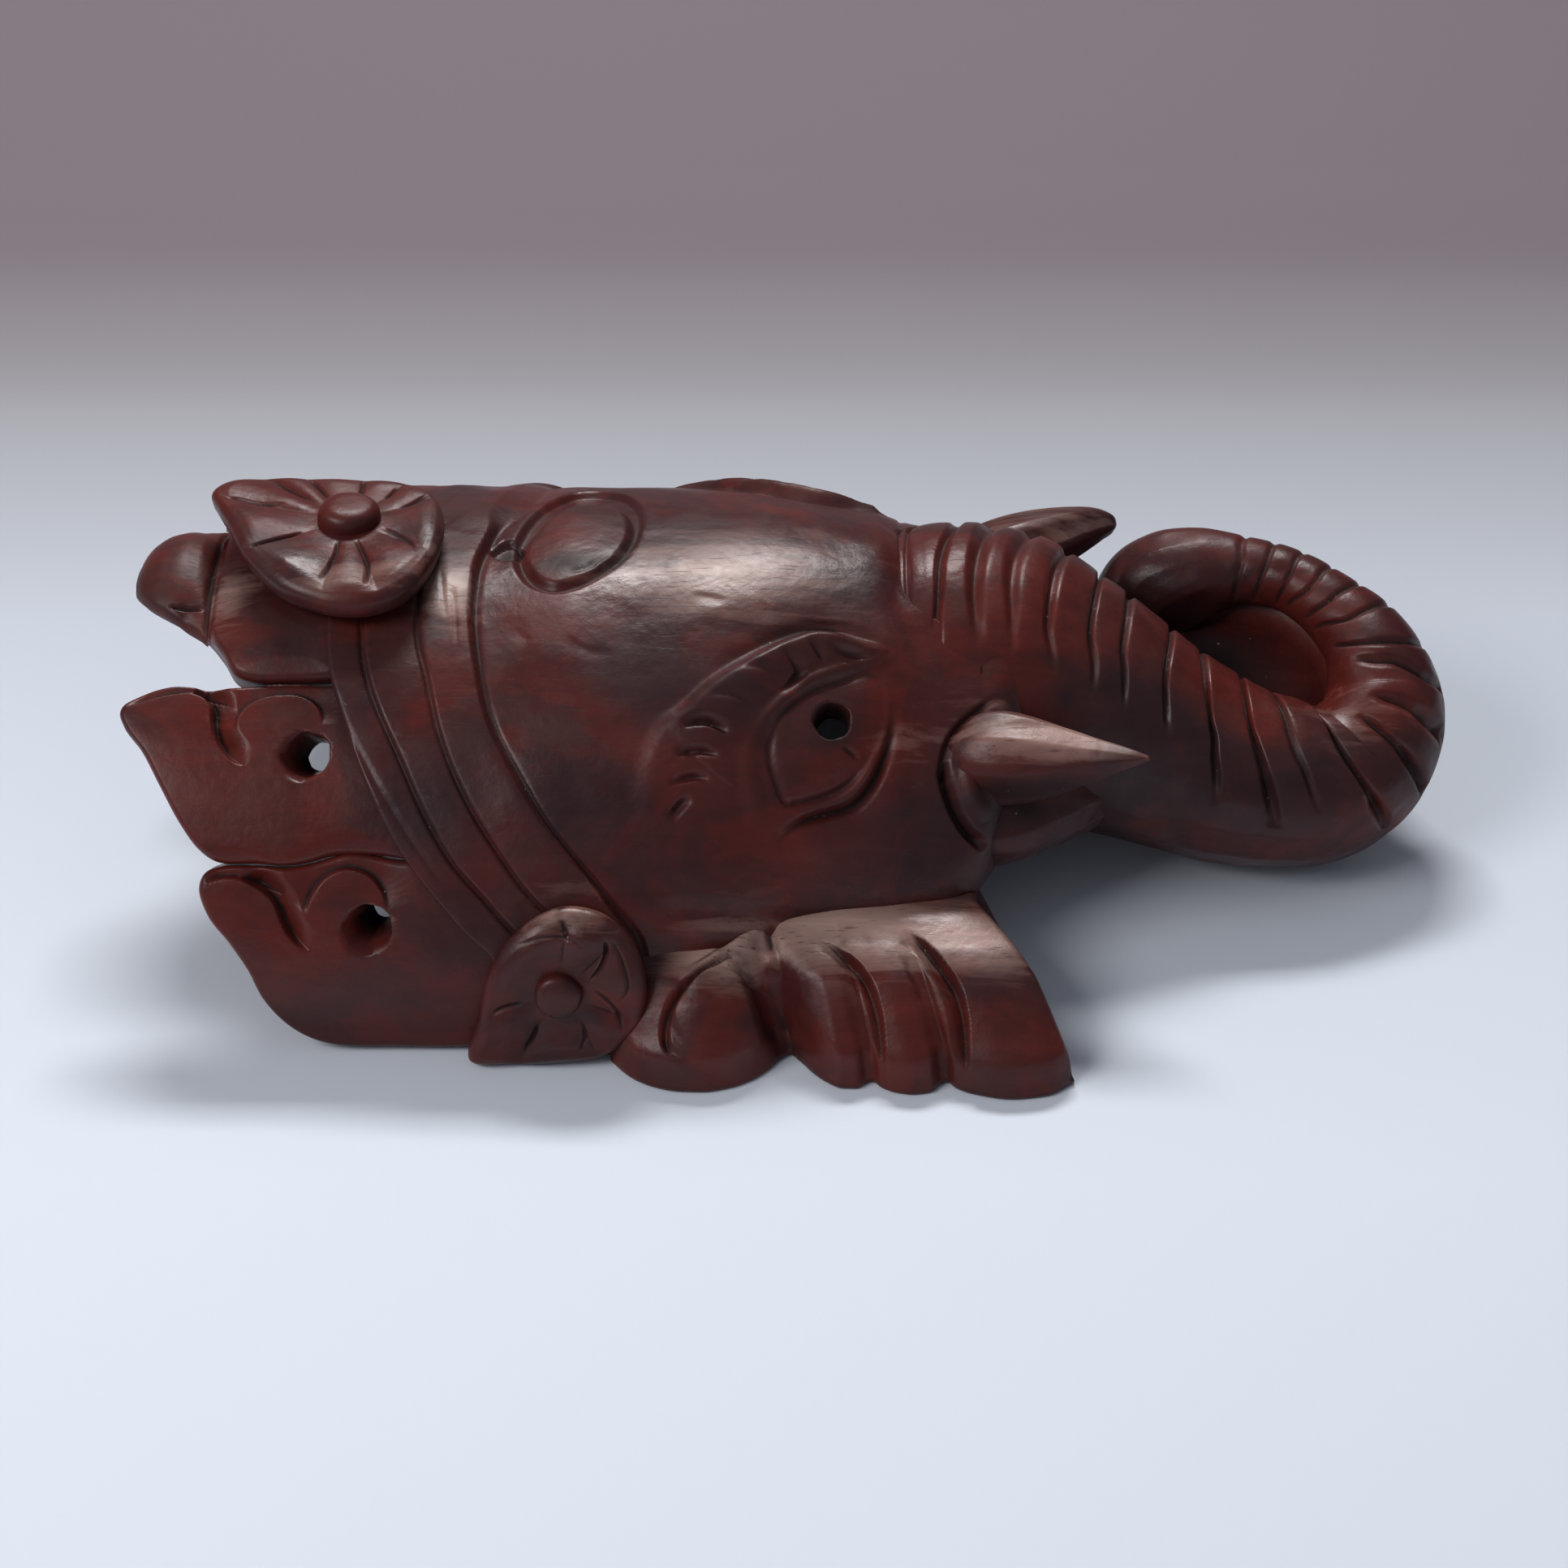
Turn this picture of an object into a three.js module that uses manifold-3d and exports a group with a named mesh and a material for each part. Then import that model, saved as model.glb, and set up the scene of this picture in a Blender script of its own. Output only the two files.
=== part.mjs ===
import * as THREE from 'three';
import { ParametricGeometry } from 'three/addons/geometries/ParametricGeometry.js';
import { mergeVertices } from 'three/addons/utils/BufferGeometryUtils.js';
import Module from 'manifold-3d';

// Carved wooden elephant-head mask, lying on its open back with the face up.
// +X runs from the crown to the trunk, +Z comes out of the face, the back rim is at Z = 0.
// All sizes are millimetres.

// Driving dimensions
const CENTRE_SHIFT_X = -3.9;     // moves the middle of the mask's length onto the origin
const WALL = 9;                  // thickness of the carved shell
const CAVITY_END_X = 29;         // how far the hollow reaches towards the trunk
const CROWN_ROOT_X = -52;        // where the crown plates disappear under the headband
const CROWN_INNER_RADIUS = 69;
const CROWN_RIM_ANGLE = 88.6;    // the crown plates end just above the table, degrees from the top
const LOBE_SPLITS = [29.3, 59.4]; // angle of the cuts between the crown's lobes
const SLIT_WIDTH = 1.3;
const BAND_LIFT = 2.4;           // how proud the headband stands
const BAND_GROOVE_DEPTH = 1.5;
const HOLE_RADIUS = 4.6;         // pierced holes in the crown's curls
const PUPIL_RADIUS = 4.4;
const RING_DEPTH = 1.7;
const BOSS_RADIUS = 7;
const ROSETTE_THICK = 4.2;

// Half width, centre height, rise above the centre and roundness of the head at each X
const HEAD_STATIONS = [
  [-110, 80, 0, 76.5, 2.0],
  [-66, 80, 0, 77, 2.0],
  [-46, 79.5, 0, 79.5, 2.0],
  [-16, 74.5, 6, 74.5, 1.95],
  [10, 64, 15, 64.5, 1.84],
  [21, 62, 17.5, 60.5, 1.76],
  [29, 60, 20, 53, 1.72],
  [36, 58, 23, 45.5, 1.76],
  [42, 54, 27, 39, 1.85],
  [47, 46, 34, 31, 2.0],
];
// Edge of the headband against the crown, and against the forehead: [angle, X]
const BAND_LEFT = [[0, -99], [22, -98], [38, -92], [53, -83], [67, -69], [74, -61], [95, -58]];
const BAND_RIGHT = [[0, -66], [14, -67], [33, -63], [50, -52], [64, -37], [72, -30], [95, -28]];
// Free edge of the crown: [angle from the top, X]
const CROWN_EDGE = [
  [0, -143.5], [5, -142.5], [10, -138.5], [14.5, -131], [17.5, -125.5], [19.5, -124.5], [28.8, -116.5],
  [29.8, -131], [32, -140.5], [35, -140.5], [42, -134], [51, -129], [58.9, -120.5],
  [60, -120], [61.5, -123.5], [64, -123.5], [72, -116.5], [79, -111.5], [85, -105.5], [90, -98],
];
// Height of the crown face above the barrel's axis along the middle leaf: [X, radius]
const MIDDLE_LEAF_RADIUS = [[-144, 70], [-138, 74], [-131, 75.6], [-126, 73.6], [-124, 76.5], [-100, 78.5], [-50, 77]];
const CROWN_HALF_WIDTH = 81;
const CROWN_RISE = 76;

// Trunk centre line from inside the head to the curled tip: x, y, z, radius
const TRUNK = [
  [20, 0, 44, 29],
  [30, 0, 44, 33],
  [46, 0, 44, 33.8],
  [61, -1, 41.8, 33],
  [72, -3, 37.8, 31.2],
  [81, -5, 33.8, 28.6],
  [90.5, -7, 29.4, 26.2],
  [100, -10, 25.8, 23.8],
  [111, -12.5, 22.8, 20.8],
  [121, -11.8, 21, 18.8],
  [130, -7.5, 22.8, 17.4],
  [136.4, -1, 29.6, 14.8],
  [137.6, 5, 34, 13.5],
  [136.4, 10, 38.8, 11.8],
  [133.4, 16, 43, 10],
  [125, 25, 47.4, 7.9],
  [117.5, 31, 49.2, 7.5],
  [107.6, 35, 49.2, 8.2],
  [100.4, 37.5, 47.2, 10.6],
  [92.6, 39, 43.8, 12.5],
  [87.6, 39.5, 40.4, 12.6],
  [84.6, 39.5, 35.2, 11.6],
  [83.4, 39, 29.6, 8.5],
];
const TRUNK_RINGS = 22;          // carved rings along the trunk
const TRUNK_PLAIN_ROOT = 3;      // plain rows before the first ring
const TRUNK_PLAIN_TIP = 8;       // plain rows on the bulb at the tip
const TRUNK_RING_FROM = 0.03;    // share of the trunk's length where the rings start
const TRUNK_RING_TO = 0.84;
const TRUNK_SIDES = 12;
// The curl isn't pierced: its middle is a hollow with wood behind it
const RECESS_WEB = { centre: [110, 22, 31], size: [27, 19, 7], tilt: 27 };
const RECESS_WALL = [[136, 10, 31, 9], [131, 22, 37, 8.5], [120, 34, 41, 8.5], [106, 40, 40, 8.5], [92, 41, 35, 8]];
// Cheek running into the trunk behind the tusk: x, y, z, radius
const LIP = [[34, -47, 36, 11], [44, -43, 35.5, 11.6], [54, -34, 32.5, 12], [68, -19, 27, 12]];

// Tusk centre line, near side, mirrored for the other: x, y, z, radius
const TUSK = [
  [33, -30, 44, 7.5], [43, -36, 47.2, 9.3], [51, -38.5, 48.6, 9.3], [60, -41.5, 50.2, 8], [69, -45, 52.4, 4.8],
  [78, -49, 55, 0.9],
];

// Ear flange section from the head outwards: [y, z]
const EAR_SECTION = [[46, 22], [59, 24.5], [72, 22.6], [79.5, 20], [85, 15], [90, 8.5], [94, 1.2], [94, 0]];
const EAR_LEFT_X = -37;
const EAR_RIGHT_X = [42, 61.5];  // at the head and at the rim
// Rim outline of the flange: [share of its length, share of its reach]
const EAR_RIM = [
  [0, 0.86], [0.05, 0.93], [0.1, 0.985], [0.19, 1.005], [0.27, 0.985], [0.33, 0.93], [0.39, 0.83],
  [0.44, 0.9], [0.5, 0.985], [0.535, 0.985], [0.565, 0.955], [0.6, 0.995], [0.66, 1.01], [0.7, 0.99],
  [0.725, 0.955], [0.77, 1.0], [0.86, 1.03], [0.94, 1.015], [1, 0.96],
];

const WOOD = new THREE.MeshStandardMaterial({ color: 0x5a2a22, roughness: 0.42, metalness: 0 });

const wasm = await Module();
wasm.setup();

const rad = THREE.MathUtils.degToRad;

// Smooth reading of a short ladder of [key, value, ...] rows
function ladder(rows, key, column = 1) {
  if (key <= rows[0][0]) return rows[0][column];
  const last = rows.length - 1;
  if (key >= rows[last][0]) return rows[last][column];
  let i = 0;
  while (rows[i + 1][0] < key) i += 1;
  const share = (key - rows[i][0]) / (rows[i + 1][0] - rows[i][0]);
  return THREE.MathUtils.lerp(rows[i][column], rows[i + 1][column], share);
}

function toSolid(geometry) {
  const bare = geometry.index ? geometry.toNonIndexed() : geometry.clone();
  bare.deleteAttribute('normal');
  bare.deleteAttribute('uv');
  const merged = mergeVertices(bare, 1e-4);
  const position = merged.attributes.position;
  const index = merged.index.array;
  const triangles = [];
  for (let i = 0; i < index.length; i += 3) {
    const [a, b, c] = [index[i], index[i + 1], index[i + 2]];
    if (a !== b && b !== c && c !== a) triangles.push(a, b, c);
  }
  let volume = 0;
  const corner = [new THREE.Vector3(), new THREE.Vector3(), new THREE.Vector3()];
  for (let i = 0; i < triangles.length; i += 3) {
    corner.forEach((v, k) => v.fromBufferAttribute(position, triangles[i + k]));
    volume += corner[0].dot(corner[1].clone().cross(corner[2]));
  }
  if (volume < 0) {
    for (let i = 0; i < triangles.length; i += 3) {
      const swap = triangles[i + 1];
      triangles[i + 1] = triangles[i + 2];
      triangles[i + 2] = swap;
    }
  }
  const mesh = new wasm.Mesh({
    numProp: 3,
    vertProperties: new Float32Array(position.array),
    triVerts: new Uint32Array(triangles),
  });
  return new wasm.Manifold(mesh);
}

// A closed skin: rows are rings of points, the first and last ring shrink to their middle
function closedSkin(rings, sides, pointOf) {
  const shape = (u, v, target) => {
    const side = Math.round(u * sides) % sides;
    const row = Math.round(v * (rings + 1));
    if (row === 0 || row === rings + 1) {
      const ring = row === 0 ? 0 : rings - 1;
      target.set(0, 0, 0);
      const p = new THREE.Vector3();
      for (let k = 0; k < sides; k += 1) target.add(pointOf(ring, k, p));
      target.divideScalar(sides);
      return;
    }
    pointOf(row - 1, side, target);
  };
  return toSolid(new ParametricGeometry(shape, sides, rings + 1));
}

// A round bar along a smooth curve, given as rows of x, y, z, radius
function bar(rows, rings, sides, flatten = 1) {
  const curve = new THREE.CatmullRomCurve3(rows.map((r) => new THREE.Vector3(r[0], r[1], r[2])), false, 'centripetal');
  const frames = curve.computeFrenetFrames(rings - 1, false);
  return closedSkin(rings, sides, (ring, side, target) => {
    const t = ring / (rings - 1);
    const centre = curve.getPointAt(t);
    const u = curve.getUtoTmapping(t) * (rows.length - 1);
    const k = Math.min(Math.floor(u), rows.length - 2);
    const radius = THREE.MathUtils.lerp(rows[k][3], rows[k + 1][3], u - k);
    const angle = (side / sides) * Math.PI * 2;
    return target.copy(centre)
      .addScaledVector(frames.normals[ring], Math.cos(angle) * radius)
      .addScaledVector(frames.binormals[ring], Math.sin(angle) * radius * flatten);
  });
}

function box(sx, sy, sz, x, y, z, turn = 0) {
  const geometry = new THREE.BoxGeometry(sx, sy, sz);
  geometry.translate(x, y, z);
  geometry.rotateX(turn);
  return toSolid(geometry);
}

// Point on the head at station x and angle t (degrees from the top, positive towards -Y)
function headPoint(x, t, lift, target) {
  const halfWidth = ladder(HEAD_STATIONS, x, 1) + lift;
  const centre = ladder(HEAD_STATIONS, x, 2);
  const rise = ladder(HEAD_STATIONS, x, 3) + lift;
  const power = 2 / ladder(HEAD_STATIONS, x, 4);
  const s = Math.sin(rad(t));
  const c = Math.cos(rad(t));
  const across = -Math.sign(s) * halfWidth * Math.abs(s) ** power;
  if (c >= 0) return target.set(x, across, centre + rise * c ** power);
  const drop = x < 30 ? centre + 12 : THREE.MathUtils.lerp(centre + 12, centre - 6, Math.min((x - 30) / 14, 1));
  return target.set(x, across, centre - drop * Math.abs(c) ** power);
}

// Point on the head at station x and the true angle about the barrel's axis
function headAt(x, angle, lift) {
  const p = new THREE.Vector3();
  let low = -110;
  let high = 110;
  for (let i = 0; i < 30; i += 1) {
    const t = (low + high) / 2;
    headPoint(x, t, lift, p);
    if (THREE.MathUtils.radToDeg(Math.atan2(-p.y, p.z)) < angle) low = t;
    else high = t;
  }
  return p;
}

// Rows of the head: share of the band width and lift, then shares of the way to the front
const BAND_ROWS = [
  [0, -1.5], [0.012, BAND_LIFT], [0.2, BAND_LIFT], [0.235, BAND_LIFT - BAND_GROOVE_DEPTH], [0.27, BAND_LIFT],
  [0.58, BAND_LIFT], [0.615, BAND_LIFT - BAND_GROOVE_DEPTH], [0.65, BAND_LIFT], [0.975, BAND_LIFT - 0.3], [1, 0],
];
const FRONT_SHARES = [0.16, 0.37, 0.57, 0.74, 0.86, 0.94, 1];
const HEAD_FRONT_X = 47;
const HEAD_SIDES = 33;

function headAngle(side) {
  const upper = 30;
  if (side <= upper) return -98 + (196 * side) / upper;
  return 98 + ((side - upper) * 164) / (HEAD_SIDES - upper);
}

function makeHead() {
  const rings = BAND_ROWS.length + FRONT_SHARES.length;
  return closedSkin(rings, HEAD_SIDES, (ring, side, target) => {
    const t = headAngle(side);
    const reach = Math.min(Math.abs(t), 95);
    const left = ladder(BAND_LEFT, reach);
    const right = ladder(BAND_RIGHT, reach);
    if (ring < BAND_ROWS.length) {
      const [share, lift] = BAND_ROWS[ring];
      return headPoint(THREE.MathUtils.lerp(left, right, share), t, lift, target);
    }
    const share = FRONT_SHARES[ring - BAND_ROWS.length];
    return headPoint(THREE.MathUtils.lerp(right, HEAD_FRONT_X, share), t, 0, target);
  });
}

function makeCavity() {
  const stops = [-175, -66, -46, -16, 10, CAVITY_END_X - 2, CAVITY_END_X];
  const sides = 15;
  return closedSkin(stops.length, sides, (ring, side, target) => {
    const x = stops[ring];
    const t = -90 + (180 * Math.min(side, sides - 4)) / (sides - 4);
    const shrink = ring === stops.length - 1 ? 0.7 : 1;
    headPoint(Math.min(x, 29), t, 0, target);
    target.x = x;
    const centre = ladder(HEAD_STATIONS, x, 2);
    const halfWidth = ladder(HEAD_STATIONS, x, 1);
    const scale = ((halfWidth - WALL) / halfWidth) * shrink;
    target.y *= scale;
    target.z = centre + (target.z - centre) * scale;
    if (side > sides - 4) {
      const share = (side - (sides - 4)) / 4;
      target.y = THREE.MathUtils.lerp(-1, 1, share) * halfWidth * scale;
      target.z = -20;
    }
    if (side === 0) target.z = centre;
    return target;
  });
}

// Distance of the crown's face from the barrel's axis
function crownFace(x, t) {
  const reach = Math.abs(t);
  const side = 1 / Math.hypot(Math.sin(rad(t)) / CROWN_HALF_WIDTH, Math.cos(rad(t)) / CROWN_RISE);
  if (reach > 29) return side;
  return ladder(MIDDLE_LEAF_RADIUS, x) + (side - CROWN_RISE) - 1.5 * THREE.MathUtils.smoothstep(reach, 16, 29);
}

function makeCrown() {
  const angles = [];
  for (const [t] of CROWN_EDGE) {
    if (t < CROWN_RIM_ANGLE) angles.push(t);
  }
  for (const t of [24, 38.5, 46.5, 55, 68, 75.5]) angles.push(t);
  angles.push(CROWN_RIM_ANGLE);
  angles.sort((a, b) => a - b);
  const all = [...angles.slice(1).reverse().map((t) => -t), ...angles];
  // share of the length from the root to the free edge, and share of the thickness
  const section = [
    [0, 1], [0.55, 1], [0.8, 1], [0.965, 0.97], [1, 0.7], [0.99, 0.1], [0.5, 0], [0, 0],
  ];
  return closedSkin(all.length, section.length, (ring, side, target) => {
    const t = all[ring];
    const edge = ladder(CROWN_EDGE, Math.abs(t));
    const [share, thick] = section[side];
    const x = THREE.MathUtils.lerp(CROWN_ROOT_X, edge, share);
    const outer = crownFace(x, t);
    const radius = THREE.MathUtils.lerp(CROWN_INNER_RADIUS, outer, thick);
    return target.set(x, -radius * Math.sin(rad(t)), radius * Math.cos(rad(t)));
  });
}

// Place a solid built around +Z so that it stands on the barrel at x and angle t
function onBarrel(solid, x, t, radius) {
  const matrix = new THREE.Matrix4().makeRotationX(rad(t));
  matrix.premultiply(new THREE.Matrix4().makeTranslation(
    x,
    -radius * Math.sin(rad(t)),
    radius * Math.cos(rad(t)),
  ));
  return solid.transform(matrix.elements);
}

function drill(radius, height, sides = 10) {
  const geometry = new THREE.CylinderGeometry(radius, radius * 0.8, height, sides);
  geometry.rotateX(Math.PI / 2);
  return toSolid(geometry);
}

// Grooves are cut with thin bars that lie on the barrel: rows of x, angle, radius of the bar
function barrelGroove(rows, depth) {
  const path = rows.map(([x, t, r]) => {
    const reach = crownFace(x, t) + r - depth;
    return [x, -reach * Math.sin(rad(t)), reach * Math.cos(rad(t)), r];
  });
  return bar(path, rows.length + 1, 4);
}

// A raised field on the head: outline as x and angle, and rings as share of the reach and lift
function headPatch(outline, middle, rings, sides) {
  const curve = new THREE.CatmullRomCurve3(outline.map(([x, t]) => new THREE.Vector3(x, t, 0)), true, 'centripetal');
  return closedSkin(rings.length, sides, (ring, side, target) => {
    const edge = curve.getPoint(side / sides);
    const [share, lift] = rings[ring];
    const x = THREE.MathUtils.lerp(middle[0], edge.x, share);
    const angle = THREE.MathUtils.lerp(middle[1], edge.y, share);
    return target.copy(headAt(x, angle, lift));
  });
}

// Flower disc with a heart-like outline, petal veins and a round boss
function makeRosette(outline, veins, bend, boss, thick) {
  const around = 24;
  const shape = new THREE.CatmullRomCurve3(outline.map(([x, y]) => new THREE.Vector3(x, y, 0)), true, 'centripetal');
  const reachOf = (angle) => {
    let best = 0;
    let gap = 10;
    for (let i = 0; i < 120; i += 1) {
      const p = shape.getPoint(i / 120);
      const off = Math.abs(Math.atan2(Math.sin(Math.atan2(p.y, p.x) - angle), Math.cos(Math.atan2(p.y, p.x) - angle)));
      if (off < gap) {
        gap = off;
        best = Math.hypot(p.x, p.y);
      }
    }
    return best;
  };
  const reach = [];
  for (let k = 0; k < around; k += 1) reach.push(reachOf((k / around) * Math.PI * 2));
  // share of the reach and height of each ring
  const rings = [[0.88, thick], [1, thick - 1.4], [0.96, -2.5]];
  const disc = closedSkin(rings.length, around, (ring, side, target) => {
    const angle = (side / around) * Math.PI * 2;
    const [share, height] = rings[ring];
    const vein = ring < 1 && side % 3 === 0 ? veins : 0;
    const x = Math.cos(angle) * reach[side] * share;
    const y = Math.sin(angle) * reach[side] * share;
    return target.set(x, y, height - vein - (y * y) / (2 * bend));
  });
  const knob = new THREE.SphereGeometry(boss, 9, 4);
  knob.scale(1, 1, 0.8);
  knob.translate(0, 0, thick);
  return disc.add(toSolid(knob));
}

// Shares of the trunk's length at which it has a row, and whether the row is a cut
function trunkRows() {
  const rows = [];
  for (let k = 0; k < TRUNK_PLAIN_ROOT; k += 1) rows.push([(k / TRUNK_PLAIN_ROOT) * TRUNK_RING_FROM, false]);
  const step = (TRUNK_RING_TO - TRUNK_RING_FROM) / TRUNK_RINGS;
  for (let k = 0; k < TRUNK_RINGS; k += 1) {
    const start = TRUNK_RING_FROM + k * step;
    rows.push([start, true], [start + step * 0.45, false]);
  }
  for (let k = 0; k < TRUNK_PLAIN_TIP; k += 1) {
    rows.push([THREE.MathUtils.lerp(TRUNK_RING_TO, 1, k / (TRUNK_PLAIN_TIP - 1)), k === 0]);
  }
  return rows;
}

function makeTrunk() {
  const curve = new THREE.CatmullRomCurve3(TRUNK.map((r) => new THREE.Vector3(r[0], r[1], r[2])), false, 'centripetal');
  const rows = trunkRows();
  // frames that don't twist, read at fine steps
  const fine = 400;
  const frames = curve.computeFrenetFrames(fine, false);
  const upper = new THREE.Vector3(0, -0.45, 0.9).normalize();
  return closedSkin(rows.length, TRUNK_SIDES, (ring, side, target) => {
    const [t, cut] = rows[ring];
    const centre = curve.getPointAt(t);
    const u = curve.getUtoTmapping(t) * (TRUNK.length - 1);
    const k = Math.min(Math.floor(u), TRUNK.length - 2);
    const radius = THREE.MathUtils.lerp(TRUNK[k][3], TRUNK[k + 1][3], u - k);
    const frame = Math.round(t * fine);
    const angle = (side / TRUNK_SIDES) * Math.PI * 2;
    const out = frames.normals[frame].clone().multiplyScalar(Math.cos(angle))
      .addScaledVector(frames.binormals[frame], Math.sin(angle));
    const facing = THREE.MathUtils.smoothstep(out.dot(upper), -0.4, 0.2);
    const groove = cut ? RING_DEPTH * facing * Math.min(1, radius / 20 + 0.25) : 0;
    return target.copy(centre).addScaledVector(out, radius - groove);
  });
}

function makeTusk() {
  return bar(TUSK, 8, 9, 0.92);
}

function makeEar() {
  const rings = EAR_RIM.length;
  const section = [...EAR_SECTION, [46, 0]];
  const sides = section.length;
  return closedSkin(rings, sides, (ring, side, target) => {
    const [p, rim] = EAR_RIM[ring];
    const [y, z] = section[side];
    const q = THREE.MathUtils.clamp((y - 59) / 35, 0, 1);
    const right = THREE.MathUtils.lerp(EAR_RIGHT_X[0], EAR_RIGHT_X[1], q);
    const x = THREE.MathUtils.lerp(EAR_LEFT_X, right, p);
    const reach = y <= 59 ? y : 59 + (y - 59) * (1 + (rim - 1) * 2.2);
    return target.set(x, -reach, z);
  });
}

function mirrored(solid) {
  return solid.mirror([0, 1, 0]);
}

function buildMask() {
  let near = makeTusk();
  near = near.add(makeEar());

  const sideRosette = makeRosette(
    [[-19.5, 17], [-17, 6], [-14.5, -5], [-8, -14], [1, -18.6], [10, -17], [16.5, -10], [18.6, -1], [16.5, 9], [9.5, 15.5], [-1, 17.5], [-11, 17.8]],
    0.9, 90, 5.6, 4,
  );
  near = near.add(onBarrel(sideRosette.mirror([0, 1, 0]), -47.5, 77.5, 82.5));

  // Brow: a leaf that stands proud of the forehead above the eye
  const browEdge = [
    [22, 22], [13, 21.4], [3, 20.5], [-7, 23.1], [-17, 29.3], [-24, 34.9], [-28, 41.6], [-30.4, 50.7], [-28.5, 57],
    [-22, 62], [-14, 58], [-9, 50], [-6.2, 41], [0, 33.6], [12, 27],
  ];
  near = near.add(headPatch(browEdge, [-15, 40], [[0.5, 2.8], [0.88, 3.3], [1, -0.6], [0.9, -4]], 18));
  near = near.add(bar(LIP, 5, 8));

  const centreRosette = makeRosette(
    [[-32, 13.5], [-27.5, 1], [-21.5, -12], [-13, -22.5], [-2, -27], [6, -27.5], [13.5, -24.5], [18, -18], [20.6, -8], [20.6, 1],
      [17.2, 12], [10.4, 17.5], [-2.4, 19.5], [-12, 20], [-22, 19.5], [-29, 18]],
    0.9, 110, BOSS_RADIUS, ROSETTE_THICK,
  );

  let mask = makeHead().add(makeCrown());
  mask = mask.add(makeTrunk());
  const web = new THREE.SphereGeometry(1, 8, 5);
  web.scale(...RECESS_WEB.size);
  web.rotateX(rad(RECESS_WEB.tilt));
  web.translate(...RECESS_WEB.centre);
  mask = mask.add(toSolid(web)).add(bar(RECESS_WALL, 6, 7));
  mask = mask.add(near).add(mirrored(near));
  mask = mask.add(centreRosette.translate([-95, -2.5, 82.5]));

  // Hollow back and flat rim
  mask = mask.subtract(makeCavity());
  mask = mask.subtract(box(500, 400, 60, 0, 0, -30));

  const onHead = (rows, sink) => rows.map(([x, t, r]) => {
    const p = headAt(x, t, sink);
    return [p.x, p.y, p.z, r];
  });
  // Cuts of one side, mirrored for the other
  let cuts = drill(PUPIL_RADIUS, 40);
  cuts = onBarrel(cuts, 10.5, 35.5, 68);
  const holes = [[-100.5, 41.5], [-86.2, 66.6]];
  for (const [x, t] of holes) cuts = cuts.add(onBarrel(drill(HOLE_RADIUS, 40), x, t, 76));
  for (const t of LOBE_SPLITS) {
    const blade = box(60, SLIT_WIDTH, 24, 0, 0, 0);
    cuts = cuts.add(onBarrel(blade, -128, t, 76));
  }
  cuts = cuts.add(barrelGroove([[-119.4, 30.4, 2], [-120.4, 35, 2.4], [-118.8, 39.5, 2.2], [-114, 43, 1.2]], 3.2));
  cuts = cuts.add(barrelGroove([[-101.2, 60.5, 1.8], [-104.6, 64.4, 2.2], [-102.4, 68.8, 2], [-99.6, 70.4, 1.2]], 3.2));
  // Almond line round the eye
  const lidUpper = [[24, 23.5, 0.8], [10, 26, 1.6], [0, 31.5, 1.8], [-4.2, 39, 1.8], [-3.6, 48, 1.6], [-2, 56, 0.8]];
  const lidLower = [[-2, 54, 0.8], [6, 52, 1.8], [15, 49.5, 2], [21, 42, 1.8], [23.5, 32.5, 1.2]];
  cuts = cuts.add(bar(onHead(lidUpper, -0.2), 8, 4));
  cuts = cuts.add(bar(onHead(lidLower, -0.2), 7, 4));
  // Crescent cut behind the tusk
  const crescent = [[45, 29, 1], [39.2, 33.1, 1.7], [35.4, 39.5, 2.1], [35, 46, 2.3], [37, 51.5, 2.3], [41, 56, 1.4]];
  cuts = cuts.add(bar(onHead(crescent, -0.3), 7, 4));
  // Cuts between the lobes of the ear
  const earCuts = [
    [[7, -70, 23.6, 0.8], [12.5, -78, 21.5, 1.8], [18, -86, 15, 2.4], [20, -92, 4, 2.2]],
    [[27, -68, 24, 0.9], [32.5, -77, 21.8, 2], [37, -86, 15, 2.6], [38.5, -92.5, 4, 2.4]],
  ];
  for (const rows of earCuts) cuts = cuts.add(bar(rows, 6, 4));
  // Oval on the ear ornament
  const oval = [];
  for (let k = 0; k <= 16; k += 1) {
    const a = (k / 16) * Math.PI * 2;
    const reach = 84 + 7.5 * Math.sin(a);
    oval.push([-13.5 + 9 * Math.cos(a), -reach, 16.3 - 7.6 * Math.sin(a), 1.2]);
  }
  cuts = cuts.add(bar(oval.slice(0, 13), 9, 4));
  mask = mask.subtract(cuts).subtract(mirrored(cuts));

  // Sunk outline of the tear drop on the forehead
  const tear = [];
  for (let k = 0; k <= 20; k += 1) {
    const a = (k / 20) * Math.PI * 2;
    const p = headAt(-45.5 + 13.2 * Math.cos(a), 12.3 * Math.sin(a) * (1 + 0.12 * Math.cos(a)), -0.1);
    tear.push([p.x, p.y, p.z, 1.3]);
  }
  mask = mask.subtract(bar(tear.slice(0, 11), 8, 4)).subtract(bar(tear.slice(10, 21), 8, 4));
  return mask;
}

function toMesh(solid, name) {
  const data = solid.getMesh();
  const geometry = new THREE.BufferGeometry();
  geometry.setAttribute('position', new THREE.BufferAttribute(new Float32Array(data.vertProperties), 3));
  geometry.setIndex(new THREE.BufferAttribute(new Uint32Array(data.triVerts), 1));
  geometry.translate(CENTRE_SHIFT_X, 0, 0);
  geometry.computeVertexNormals();
  const mesh = new THREE.Mesh(geometry, WOOD);
  mesh.name = name;
  return mesh;
}

const mask = new THREE.Group();
mask.add(toMesh(buildMask(), 'ganesha_mask'));

export default mask;
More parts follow.
